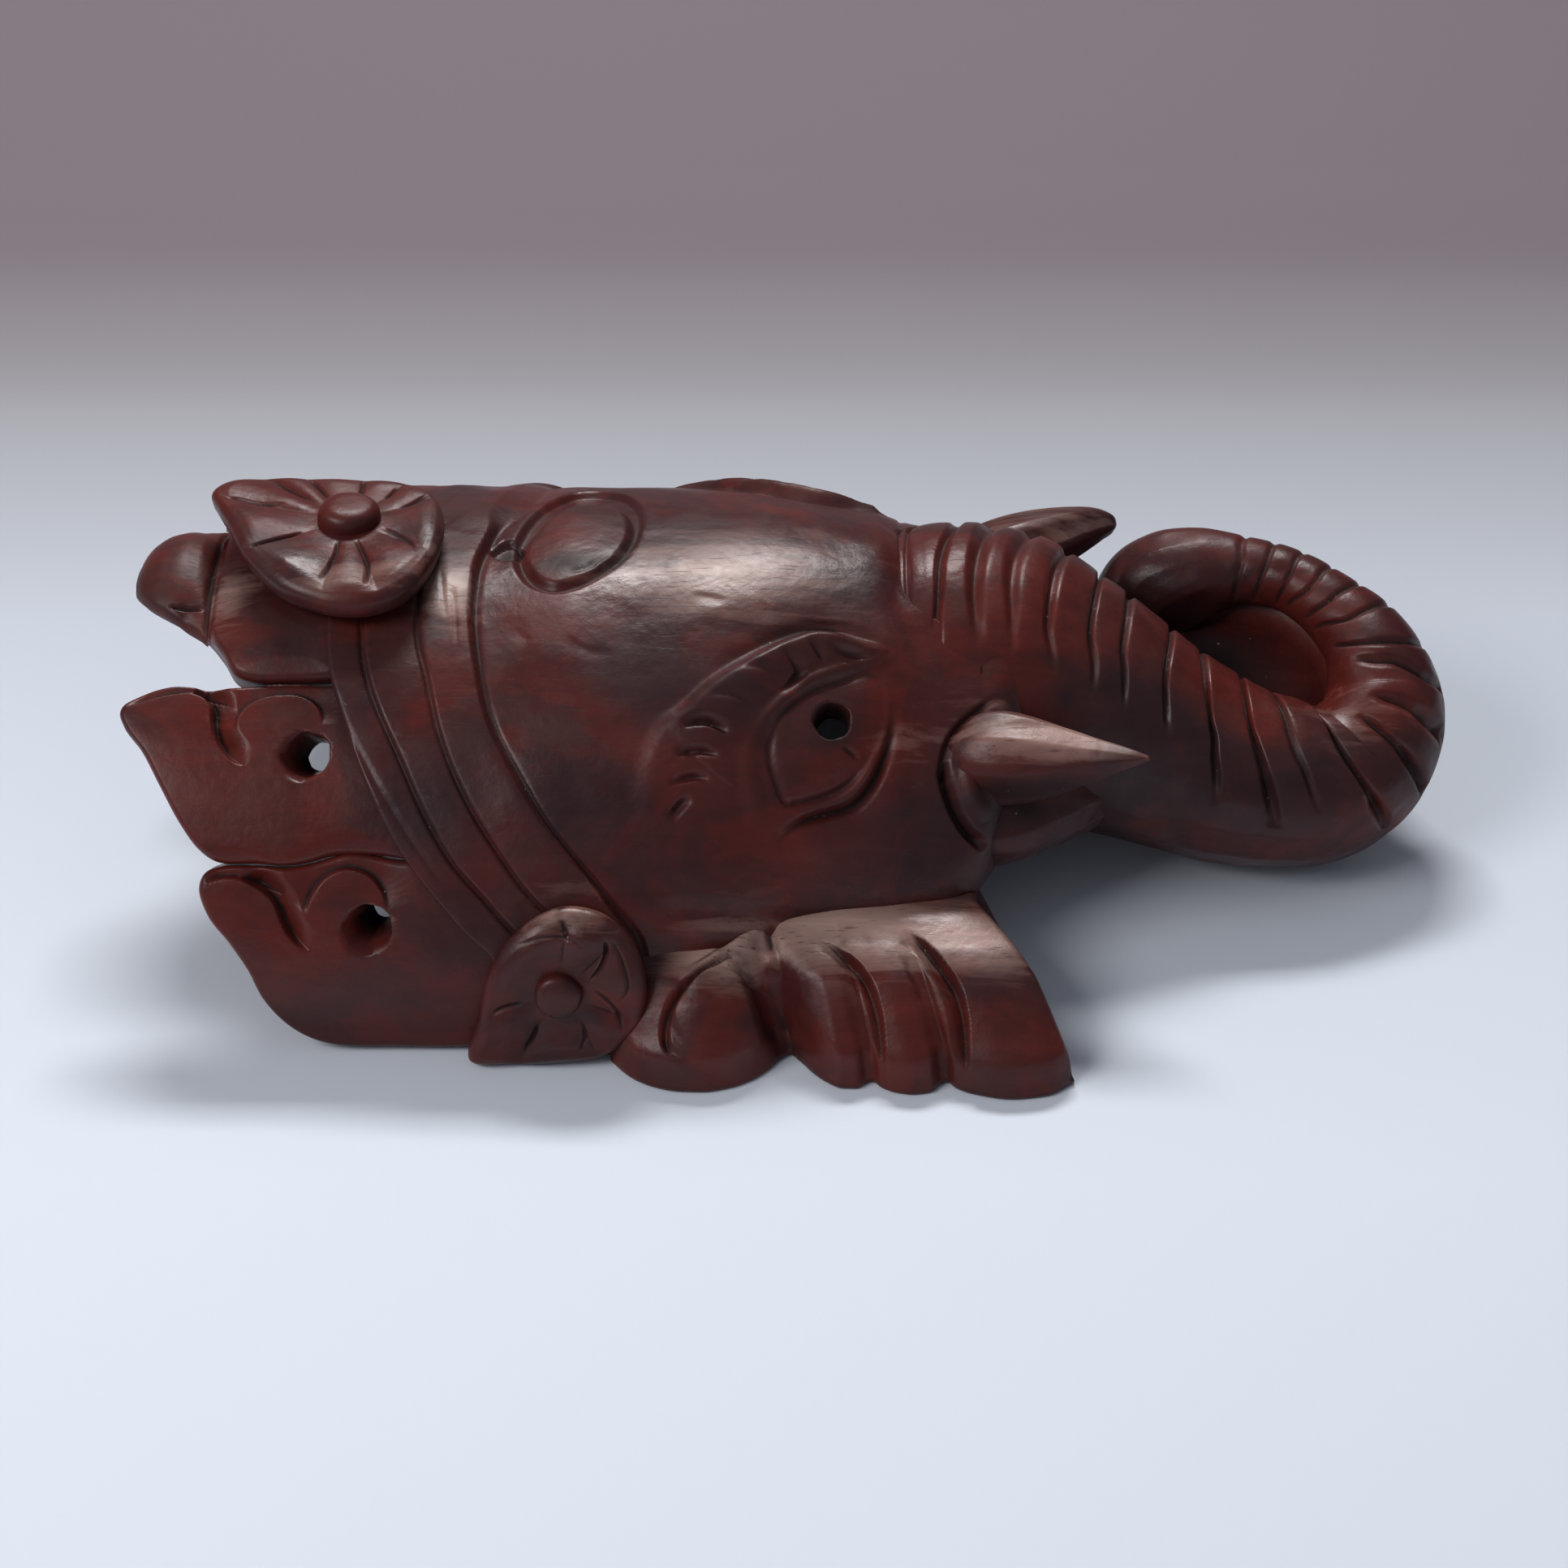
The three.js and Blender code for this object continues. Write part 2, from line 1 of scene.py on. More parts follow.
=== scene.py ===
"""Carved wooden elephant-head mask, lying on its open back with the face up.

Shapes are worked out in millimetres in the carver's frame: +X runs from the crown to the trunk,
+Z comes out of the face, and the flat back rim is at Z = 0. Meshes are written in metres in the
part's frame.
"""
import logging
import math
from collections.abc import Sequence
from dataclasses import dataclass
from enum import Enum

import bpy
import numpy as np
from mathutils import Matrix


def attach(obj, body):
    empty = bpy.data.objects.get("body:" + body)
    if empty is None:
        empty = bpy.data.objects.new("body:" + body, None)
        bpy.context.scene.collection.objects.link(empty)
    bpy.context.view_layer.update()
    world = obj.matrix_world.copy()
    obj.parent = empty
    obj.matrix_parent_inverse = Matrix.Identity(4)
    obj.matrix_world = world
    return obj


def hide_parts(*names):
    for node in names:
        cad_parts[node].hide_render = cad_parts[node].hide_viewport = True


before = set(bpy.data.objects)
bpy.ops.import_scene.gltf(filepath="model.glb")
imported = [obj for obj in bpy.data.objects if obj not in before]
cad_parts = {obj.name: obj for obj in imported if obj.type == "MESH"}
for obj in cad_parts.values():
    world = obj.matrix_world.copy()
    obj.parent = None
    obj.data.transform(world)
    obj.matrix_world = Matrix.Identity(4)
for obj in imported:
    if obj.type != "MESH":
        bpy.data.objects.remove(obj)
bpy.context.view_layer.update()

Array = np.ndarray
Rows = Sequence[tuple[float, ...]]
Skin = tuple[Array, Array]       # vertices and triangles
Span = tuple[float, float]
Spot = tuple[float, float, float]
Window = tuple[slice, slice]      # rows and columns of a height map
Object = bpy.types.Object
Socket = bpy.types.NodeSocket

LOG = logging.getLogger("mask")
MM = 0.001                      # metres in a millimetre
CENTRE_SHIFT_X = -3.9           # from the carver's frame to the part's frame
ARC = math.radians(1.0) * 76.0  # millimetres of surface in a degree of the barrel
NODE = "ganesha_mask"
TRIANGLE_LIMIT = 190_000
WALL = 9.0
CAVITY_END_X = 29.0
LEAF_HALF_ANGLE = 29.25         # the crown's middle leaf reaches this far to each side, in degrees
PATH_STEP = 0.9                 # spacing of the points of a carved line, in millimetres


def ease(x: Array, low: float, high: float) -> Array:
    """Eases from 0 at low to 1 at high with level ends."""
    t = np.clip((np.asarray(x, float) - low) / (high - low), 0.0, 1.0)
    return t * t * (3.0 - 2.0 * t)


def unit(v: Array) -> Array:
    """Vectors of length one along v's last axis."""
    return v / np.maximum(np.linalg.norm(v, axis=-1, keepdims=True), 1e-9)


def ladder(rows: Rows, key: Array, column: int = 1) -> Array:
    """Smooth reading of a short table of rows that start with their key.

    Each interval is a cubic whose slopes are the harmonic mean of the two neighbouring slopes, so
    it passes through every row and never overshoots.

    Args:
        rows: (key, value, ...) with rising keys.
        key: where to read.
        column: which value to read.

    Returns:
        The value at each key, held constant past the ends.
    """
    table = np.asarray(rows, float)
    x, y = table[:, 0], table[:, column]
    step = np.diff(x)
    slope = np.diff(y) / step
    inner = np.where(
        slope[:-1] * slope[1:] > 0,
        2.0 * slope[:-1] * slope[1:] / np.where(slope[:-1] + slope[1:] == 0, 1.0, slope[:-1] + slope[1:]),
        0.0,
    )
    tangent = np.concatenate([[slope[0]], inner, [slope[-1]]])
    k = np.clip(np.asarray(key, float), x[0], x[-1])
    i = np.clip(np.searchsorted(x, k) - 1, 0, len(step) - 1)
    t = (k - x[i]) / step[i]
    return (
        y[i] * (1 + 2 * t) * (1 - t) ** 2 + y[i + 1] * t * t * (3 - 2 * t)
        + step[i] * (tangent[i] * t * (1 - t) ** 2 - tangent[i + 1] * t * t * (1 - t))
    )


def spline(points: Rows | Array, count: int, closed: bool = False, space: int = 2) -> Array:
    """Centripetal Catmull-Rom curve through the points, read at equal steps of length.

    Args:
        points: rows whose first values are the place, and any others go along with it.
        count: how many rows to give back.
        closed: whether the curve returns to its first point.
        space: how many of the first values are the place.

    Returns:
        count rows like those of points.
    """
    p = np.asarray(points, float)
    if closed:
        q = np.vstack([p[-1], p, p[0], p[1]])
    else:
        q = np.vstack([2 * p[0] - p[1], p, 2 * p[-1] - p[-2]])
    share = np.linspace(0.0, 1.0, 24, endpoint=False)[:, None]
    parts = []
    for a, b, c, d in zip(q[:-3], q[1:-2], q[2:-1], q[3:]):
        ab, bc, cd = (max(np.linalg.norm((m - n)[:space]) ** 0.5, 1e-6) for m, n in ((b, a), (c, b), (d, c)))
        t = ab + share * bc
        a1 = (ab - t) / ab * a + t / ab * b
        a2 = (ab + bc - t) / bc * b + (t - ab) / bc * c
        a3 = (ab + bc + cd - t) / cd * c + (t - ab - bc) / cd * d
        b1 = (ab + bc - t) / (ab + bc) * a1 + t / (ab + bc) * a2
        b2 = (ab + bc + cd - t) / (bc + cd) * a2 + (t - ab) / (bc + cd) * a3
        parts.append((ab + bc - t) / bc * b1 + (t - ab) / bc * b2)
    parts.append(p[:1] if closed else p[-1:])
    fine = np.vstack(parts)
    run = np.concatenate([[0.0], np.cumsum(np.linalg.norm(np.diff(fine[:, :space], axis=0), axis=1))])
    at = np.linspace(0.0, run[-1], count)
    return np.stack([np.interp(at, run, fine[:, k]) for k in range(fine.shape[1])], axis=1)


class Unevenness:
    """Smooth random waves in space, the same on every run."""

    def __init__(self, seed: int, size: int = 32) -> None:
        """Fills a repeating lattice with random values between -1 and 1."""
        self.size = size
        self.lattice = np.random.RandomState(seed).uniform(-1.0, 1.0, (size, size, size))

    def __call__(self, p: Array, pitch: float | Spot) -> Array:
        """Values at points p, in waves about pitch millimetres long.

        The eight lattice values round a point are mixed with eased shares of its place in the cell.

        Args:
            p: places, with x, y and z along the last axis.
            pitch: length of the waves, one for all axes or one for each.

        Returns:
            A value between -1 and 1 for each place.
        """
        q = p / np.asarray(pitch, float)
        cell = np.floor(q).astype(int)
        t = q - cell
        t = t * t * (3 - 2 * t)
        total = np.zeros(p.shape[:-1])
        for corner in range(8):
            step = np.array([corner & 1, corner >> 1 & 1, corner >> 2 & 1])
            share = np.prod(np.where(step == 1, t, 1 - t), axis=-1)
            i, j, k = np.moveaxis((cell + step) % self.size, -1, 0)
            total += share * self.lattice[i, j, k]
        return total


WAVES = Unevenness(seed=7)


class Relief:
    """A height map over two lengths in millimetres that is cut and raised along curves."""

    def __init__(self, u: Span, v: Span, step: float, arc: float = 1.0) -> None:
        """Makes a flat map.

        Args:
            u: first and last value of the first length.
            v: first and last value of the second length, before it is scaled by arc.
            step: spacing of the samples in millimetres.
            arc: millimetres in one unit of the second length, for maps whose curves give degrees.
        """
        self.arc = arc
        self.u = np.arange(u[0], u[1] + step, step)
        self.v = np.arange(v[0] * arc, v[1] * arc + step, step)
        self.step = step
        self.height = np.zeros((len(self.u), len(self.v)))

    def path(self, points: Rows, closed: bool = False) -> Array:
        """The smooth curve through points, in millimetres.

        Args:
            points: rows of places, the second value before it is scaled by arc.
            closed: whether the curve returns to its first point.

        Returns:
            The curve's points at equal steps.
        """
        p = np.asarray(points, float).copy()
        p[:, 1] *= self.arc
        length = np.linalg.norm(np.diff(p[:, :2], axis=0), axis=1).sum()
        return spline(p, max(int(length / PATH_STEP), 6) + 1, closed)

    def near(self, path: Array, reach: float) -> tuple[Window, Array, Array, Array]:
        """Distance from the map's samples to a path.

        Args:
            path: rows of places on the map.
            reach: how far from the path samples are wanted.

        Returns:
            The window of the map, and in it the distance, the side (+1 or -1) and the share of the
            path's length at the nearest point.
        """
        low, high = path[:, :2].min(axis=0) - reach, path[:, :2].max(axis=0) + reach
        i = slice(*np.searchsorted(self.u, (low[0], high[0])))
        j = slice(*np.searchsorted(self.v, (low[1], high[1])))
        u, v = self.u[i][:, None], self.v[j][None, :]
        best = np.full((u.shape[0], v.shape[1]), np.inf)
        side, along = np.ones_like(best), np.zeros_like(best)
        edges = np.diff(path[:, :2], axis=0)
        lengths = np.maximum(np.linalg.norm(edges, axis=1), 1e-9)
        start = np.concatenate([[0.0], np.cumsum(lengths)])
        for a, e, n, s in zip(path[:, :2], edges, lengths, start):
            du, dv = u - a[0], v - a[1]
            t = np.clip((du * e[0] + dv * e[1]) / n ** 2, 0.0, 1.0)
            gap = (du - t * e[0]) ** 2 + (dv - t * e[1]) ** 2
            closer = gap < best
            best = np.where(closer, gap, best)
            side = np.where(closer, np.sign(e[0] * dv - e[1] * du), side)
            along = np.where(closer, s + t * n, along)
        return (i, j), np.sqrt(best), side, along / start[-1]

    def groove(
        self, points: Rows, depth: float, plus: float, minus: float | None = None,
        ends: Span = (0.25, 0.25), soft: float = 0.5, closed: bool = False,
    ) -> None:
        """Cuts a groove, or raises a ridge where depth is negative.

        The profile falls off linearly from the path, with soft mixing in an eased fall.

        Args:
            points: rows of places the groove passes through.
            depth: depth of the cut.
            plus: width of the wall on the side that lies to +v of a path running to +u.
            minus: width of the wall on the other side.
            ends: shares of the length over which the cut runs out at its start and end.
            soft: 0 for a sharp bottom, 1 for a soft one.
            closed: whether the path is a loop.
        """
        minus = plus if minus is None else minus
        window, gap, side, along = self.near(self.path(points, closed), max(plus, minus))
        share = np.clip(1 - gap / np.where(side > 0, plus, minus), 0.0, 1.0)
        profile = (1 - soft) * share + soft * share * share * (3 - 2 * share)
        run = np.ones_like(along)
        if not closed and ends[0] > 0:
            run = run * ease(along, 0.0, ends[0]) ** 0.6
        if not closed and ends[1] > 0:
            run = run * ease(1 - along, 0.0, ends[1]) ** 0.6
        self.height[window] -= depth * profile * run

    def inside(self, outline: Rows, reach: float) -> tuple[Window, Array, Array]:
        """Distance to a closed outline, positive inside it, by counting the edges to one side.

        Args:
            outline: rows of places round the field.
            reach: how far outside the outline samples are wanted.

        Returns:
            The window, the signed distance, and the share of the outline at the nearest point.
        """
        loop = self.path(outline, closed=True)
        window, gap, _, along = self.near(loop, reach)
        u, v = self.u[window[0]][:, None], self.v[window[1]][None, :]
        odd = np.zeros(gap.shape, bool)
        for a, b in zip(loop[:-1, :2], loop[1:, :2]):
            if a[1] == b[1]:
                continue
            crosses = (a[1] > v) != (b[1] > v)
            odd ^= crosses & (u < a[0] + (v - a[1]) * (b[0] - a[0]) / (b[1] - a[1]))
        return window, np.where(odd, gap, -gap), along

    def field(
        self, outline: Rows, lift: float, wall: float, dome: float = 0.0, dome_reach: float = 5.0,
    ) -> None:
        """Raises a closed field by lift over a wall, and swells its middle by dome.

        Args:
            outline: rows of places round the field.
            lift: how far the field is raised, or sunk where negative.
            wall: width of the wall.
            dome: how much more the middle swells.
            dome_reach: distance from the wall where the swell is full.
        """
        window, deep, _ = self.inside(outline, wall)
        swell = 1 - (1 - np.clip(deep / dome_reach, 0, 1)) ** 2
        self.height[window] += lift * ease(deep, -wall / 2, wall / 2) + dome * swell * (deep > 0)

    def sample(self, u: Array, v: Array) -> Array:
        """Height at any place, mixed from the four samples round it.

        Args:
            u: first lengths.
            v: second lengths, before they are scaled by arc.

        Returns:
            The height at each place.
        """
        a = np.clip((u - self.u[0]) / self.step, 0, len(self.u) - 1.001)
        b = np.clip((v * self.arc - self.v[0]) / self.step, 0, len(self.v) - 1.001)
        i, j = a.astype(int), b.astype(int)
        s, t = a - i, b - j
        h = self.height
        return (h[i, j] * (1 - s) * (1 - t) + h[i + 1, j] * s * (1 - t)
                + h[i, j + 1] * (1 - s) * t + h[i + 1, j + 1] * s * t)


def lay(points: Array, height: Array) -> Array:
    """Moves a grid of points along its own normals, the cross product of its two directions."""
    normal = unit(np.cross(np.gradient(points, axis=1), np.gradient(points, axis=0)))
    return points + normal * height[..., None]


def turned(points: Array, degrees: float) -> Array:
    """Points turned about X, from +Z towards -Y."""
    c, s = math.cos(math.radians(degrees)), math.sin(math.radians(degrees))
    return points @ np.array([(1, 0, 0), (0, c, s), (0, -s, c)])


def skin(rings: Array) -> Skin:
    """Closes a stack of rings into one skin.

    Neighbouring rings are joined by triangles, and the first and last ring by fans to their middle.
    The skin is turned so that its volume is positive.

    Args:
        rings: (rings, points in a ring, 3).

    Returns:
        Vertices and triangles.
    """
    count, around = rings.shape[:2]
    verts = np.concatenate([rings.reshape(-1, 3), rings[:1].mean(axis=1), rings[-1:].mean(axis=1)])
    r, k = np.meshgrid(np.arange(count - 1), np.arange(around), indexing="ij")
    a, b = r * around + k, r * around + (k + 1) % around
    c, d = a + around, b + around
    k = np.arange(around)
    turn = (k + 1) % around
    top, last = count * around, (count - 1) * around
    faces = np.concatenate([
        np.stack([a, b, d], -1).reshape(-1, 3),
        np.stack([a, d, c], -1).reshape(-1, 3),
        np.stack([np.full(around, top), turn, k], -1),
        np.stack([np.full(around, top + 1), last + k, last + turn], -1),
    ])
    p = verts[faces]
    if np.einsum("ij,ij->", p[:, 0], np.cross(p[:, 1], p[:, 2])) < 0:
        faces = faces[:, ::-1]
    return verts, faces


def mirrored(part: Skin) -> Skin:
    """The same skin on the far side, with its faces turned to point outwards again."""
    verts, faces = part
    return verts * (1, -1, 1), faces[:, ::-1]


def make_object(name: str, parts: list[Skin]) -> Object:
    """A new object at the origin from skins in millimetres, written with foreach_set.

    Args:
        name: name of the object and its mesh.
        parts: vertices and triangles of each skin, in the carver's frame.

    Returns:
        The object, linked to the scene.
    """
    verts, faces, start = [], [], 0
    for v, f in parts:
        verts.append(v)
        faces.append(f + start)
        start += len(v)
    points = (np.concatenate(verts) + (CENTRE_SHIFT_X, 0, 0)) * MM
    corners = np.concatenate(faces)
    mesh = bpy.data.meshes.new(name)
    mesh.vertices.add(len(points))
    mesh.vertices.foreach_set("co", points.astype(np.float32).ravel())
    mesh.loops.add(corners.size)
    mesh.loops.foreach_set("vertex_index", corners.astype(np.int32).ravel())
    mesh.polygons.add(len(corners))
    mesh.polygons.foreach_set("loop_start", np.arange(0, corners.size, 3, dtype=np.int32))
    mesh.polygons.foreach_set("loop_total", np.full(len(corners), 3, dtype=np.int32))
    mesh.update(calc_edges=True)
    mesh.validate()
    piece = bpy.data.objects.new(name, mesh)
    bpy.context.scene.collection.objects.link(piece)
    return piece


def settle(piece: Object) -> None:
    """Applies the piece's modifiers.

    Args:
        piece: the object, which gets a new mesh.
    """
    graph = bpy.context.evaluated_depsgraph_get()
    mesh = bpy.data.meshes.new_from_object(piece.evaluated_get(graph))
    old = piece.data
    piece.modifiers.clear()
    piece.data = mesh
    mesh.name = piece.name
    bpy.data.meshes.remove(old)


def carve(piece: Object, cutters: list[Object]) -> None:
    """Takes each cutter out of the piece and removes it.

    Args:
        piece: the object that is cut.
        cutters: closed objects, gone afterwards.
    """
    for k, cutter in enumerate(cutters):
        cut = piece.modifiers.new(f"cut_{k}", "BOOLEAN")
        cut.operation = "DIFFERENCE"
        cut.solver = "MANIFOLD"
        cut.object = cutter
    settle(piece)
    for cutter in cutters:
        bpy.data.objects.remove(cutter)


def thin_out(piece: Object, limit: int) -> None:
    """Merges the least needed triangles until the piece is under the limit.

    Args:
        piece: the object.
        limit: most triangles that it may keep.
    """
    count = len(piece.data.polygons)
    if count <= limit:
        return
    fewer = piece.modifiers.new("fewer", "DECIMATE")
    fewer.ratio = limit / count
    settle(piece)


def read_vertices(mesh: bpy.types.Mesh) -> tuple[Array, Array]:
    """Places in the carver's frame in millimetres, and normals.

    Args:
        mesh: the mesh, in metres in the part's frame.

    Returns:
        Two arrays with a row for each vertex.
    """
    count = len(mesh.vertices)
    place, normal = np.empty(count * 3, np.float32), np.empty(count * 3, np.float32)
    mesh.vertices.foreach_get("co", place)
    mesh.vertices.foreach_get("normal", normal)
    return place.reshape(-1, 3) / MM - (CENTRE_SHIFT_X, 0, 0), normal.reshape(-1, 3).astype(float)


def write_mask(mesh: bpy.types.Mesh, name: str, values: Array) -> None:
    """Stores one value for each vertex."""
    mask = mesh.attributes.new(name, "FLOAT", "POINT")
    mask.data.foreach_set("value", np.clip(values, 0, 1).astype(np.float32))


def bend_of(mesh: bpy.types.Mesh, place: Array, normal: Array, passes: int) -> Array:
    """How strongly the surface bulges (+) or hollows (-) at each vertex, in 1/mm.

    It is minus the mean over the edges of the neighbour's offset along the normal, twice over its
    squared length, averaged with the neighbours' values in a number of passes.

    Args:
        mesh: the mesh whose edges are read.
        place: its vertices.
        normal: their normals.
        passes: how many times the values are averaged with their neighbours'.

    Returns:
        One value for each vertex.
    """
    ends = np.empty(len(mesh.edges) * 2, np.int32)
    mesh.edges.foreach_get("vertices", ends)
    a, b = ends.reshape(-1, 2).T
    offset = place[b] - place[a]
    size = np.maximum((offset ** 2).sum(axis=1), 1e-4)
    at_a = -2 * (offset * normal[a]).sum(axis=1) / size
    at_b = 2 * (offset * normal[b]).sum(axis=1) / size
    count = np.maximum(np.bincount(a, minlength=len(place)) + np.bincount(b, minlength=len(place)), 1)
    value = (np.bincount(a, at_a, len(place)) + np.bincount(b, at_b, len(place))) / count
    value = np.clip(value, -3, 3)
    for _ in range(passes):
        around = np.bincount(a, value[b], len(place)) + np.bincount(b, value[a], len(place))
        value = 0.4 * value + 0.6 * around / count
    return value


def join(first: Object, second: Object) -> Object:
    """Puts the second object's mesh into the first.

    Args:
        first: the object that is kept.
        second: the object that goes into it.

    Returns:
        The first object.
    """
    with bpy.context.temp_override(active_object=first, selected_editable_objects=[first, second]):
        bpy.ops.object.join()
    return first


def slab() -> Skin:
    """A block that fills the space under the back rim."""
    ring = np.array([(-200, -150), (200, -150), (200, 150), (-200, 150)], float)
    return skin(np.stack([np.column_stack([ring, np.full(4, z)]) for z in (-60.0, 0.0)]))


def drill(
    place: Span, reach: float, radii: Span, deep: float, side: int, slant: Spot = (0.0, 0.0, 0.0),
) -> Skin:
    """A slightly uneven cone pointing into the barrel.

    Args:
        place: X and barrel angle of the hole's mouth on the near side.
        reach: the mouth's distance from the barrel's axis.
        radii: radius at the mouth and at the inner end.
        deep: depth at which the second radius is reached.
        side: 1 for the near side, -1 for the far side.
        slant: how far the inner end is moved from straight in.

    Returns:
        Vertices and triangles.
    """
    t = math.radians(place[1])
    out = np.array([0.0, -math.sin(t), math.cos(t)])
    mouth = out * reach + (place[0], 0, 0)
    axis = unit(-out * deep + np.array(slant))
    across = unit(np.cross(axis, (1.0, 0.0, 0.0)))
    other = np.cross(axis, across)
    steps = np.array([-8.0, -1.2, 0.0, 0.8, deep * 0.5, deep, deep + 8.0])
    wide, narrow = radii
    sizes = np.interp(steps, [-8, -1.2, 0.8, deep], [wide + 4, wide + 0.9, wide, narrow])
    a = np.linspace(0, 2 * np.pi, 72, endpoint=False)
    uneven = 1 + 0.035 * np.sin(2 * a + 0.7) + 0.02 * np.sin(5 * a) + 0.012 * np.sin(9 * a + 1)
    rings = (mouth + steps[:, None, None] * axis
             + (sizes[:, None] * uneven * np.cos(a))[..., None] * across
             + (sizes[:, None] * uneven * np.sin(a))[..., None] * other)
    part = skin(rings)
    return part if side > 0 else mirrored(part)


@dataclass(kw_only=True)
class Piece:
    """A sub-assembly of the carving that is built as one mesh and dressed in one finish."""

    name: str = "piece"
    limit: int = TRIANGLE_LIMIT

    def build(self) -> Object:
        """The piece's mesh, which each sub-assembly makes in its own way."""
        raise NotImplementedError

    def stain(self, place: Array) -> Array:
        """Dark stain beyond the spots that all pieces share, here none."""
        return np.zeros(len(place))

    def dress(self, piece: Object, material: bpy.types.Material) -> None:
        """Thins a piece, stores its masks of stain, rubbing, painted highlight and painted shade, gives it
        its material and ties it to the frame.

        Hollows come from how the surface bends and, with the shade spots, are darkened as painted shade.
        Rims come from it too and are lightened as rubbed edges and painted highlight. The rubbed spots,
        partly painted highlight, are kept only where the surface faces up. Bare wood is what faces the
        barrel's axis inside it, and the flat rim on the table.

        Args:
            piece: the object that build made.
            material: its finish.
        """
        thin_out(piece, self.limit)
        mesh = piece.data
        mesh.shade_smooth()
        place, normal = read_vertices(mesh)
        bend = bend_of(mesh, place, normal, 2)
        broad = bend_of(mesh, place, normal, 8)
        # painted shade: bending hollows plus the shade spots are darkened towards near black in the finish;
        # the spots also hold a dark smudge on the tear drop
        shade_and_smudge_black = spots(place, SHADE_AND_SMUDGE_SPOTS)
        write_mask(mesh, "hollow", ease(-bend, 0.15, 0.8) + 0.6 * ease(-broad, 0.12, 0.5) + shade_and_smudge_black)
        # convex edges, lightened in the finish as rubbed edges and painted highlight
        write_mask(mesh, "rim", ease(bend, 0.45, 1.35))
        # rubbed spots and painted highlight: lightened only where the surface faces up
        facing_up = ease(normal[:, 2], 0.2, 0.75)
        write_mask(mesh, "wear_and_highlight", spots(place, WEAR_AND_HIGHLIGHT_SPOTS) * facing_up)
        write_mask(mesh, "red", spots(place, RED_SPOTS))
        # dark purple stain and the trunk's stain line, with painted shade under the near tusk
        write_mask(mesh, "deep", spots(place, DARK_STAIN_AND_SHADE_SPOTS) + self.stain(place))
        reach = np.hypot(place[:, 1], place[:, 2])
        inward = -(place[:, 1] * normal[:, 1] + place[:, 2] * normal[:, 2]) / np.maximum(reach, 1)
        inner = ease(inward, 0.5, 0.8) * (reach < 74) * (place[:, 0] < 30)
        flat = ease(-normal[:, 2], 0.9, 0.98) * (place[:, 2] < 1)
        write_mask(mesh, "raw", np.maximum(inner, flat))
        mesh.materials.clear()
        mesh.materials.append(material)
        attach(piece, "root")
        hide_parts(NODE)
        LOG.info("%s: %d triangles", piece.name, len(mesh.polygons))


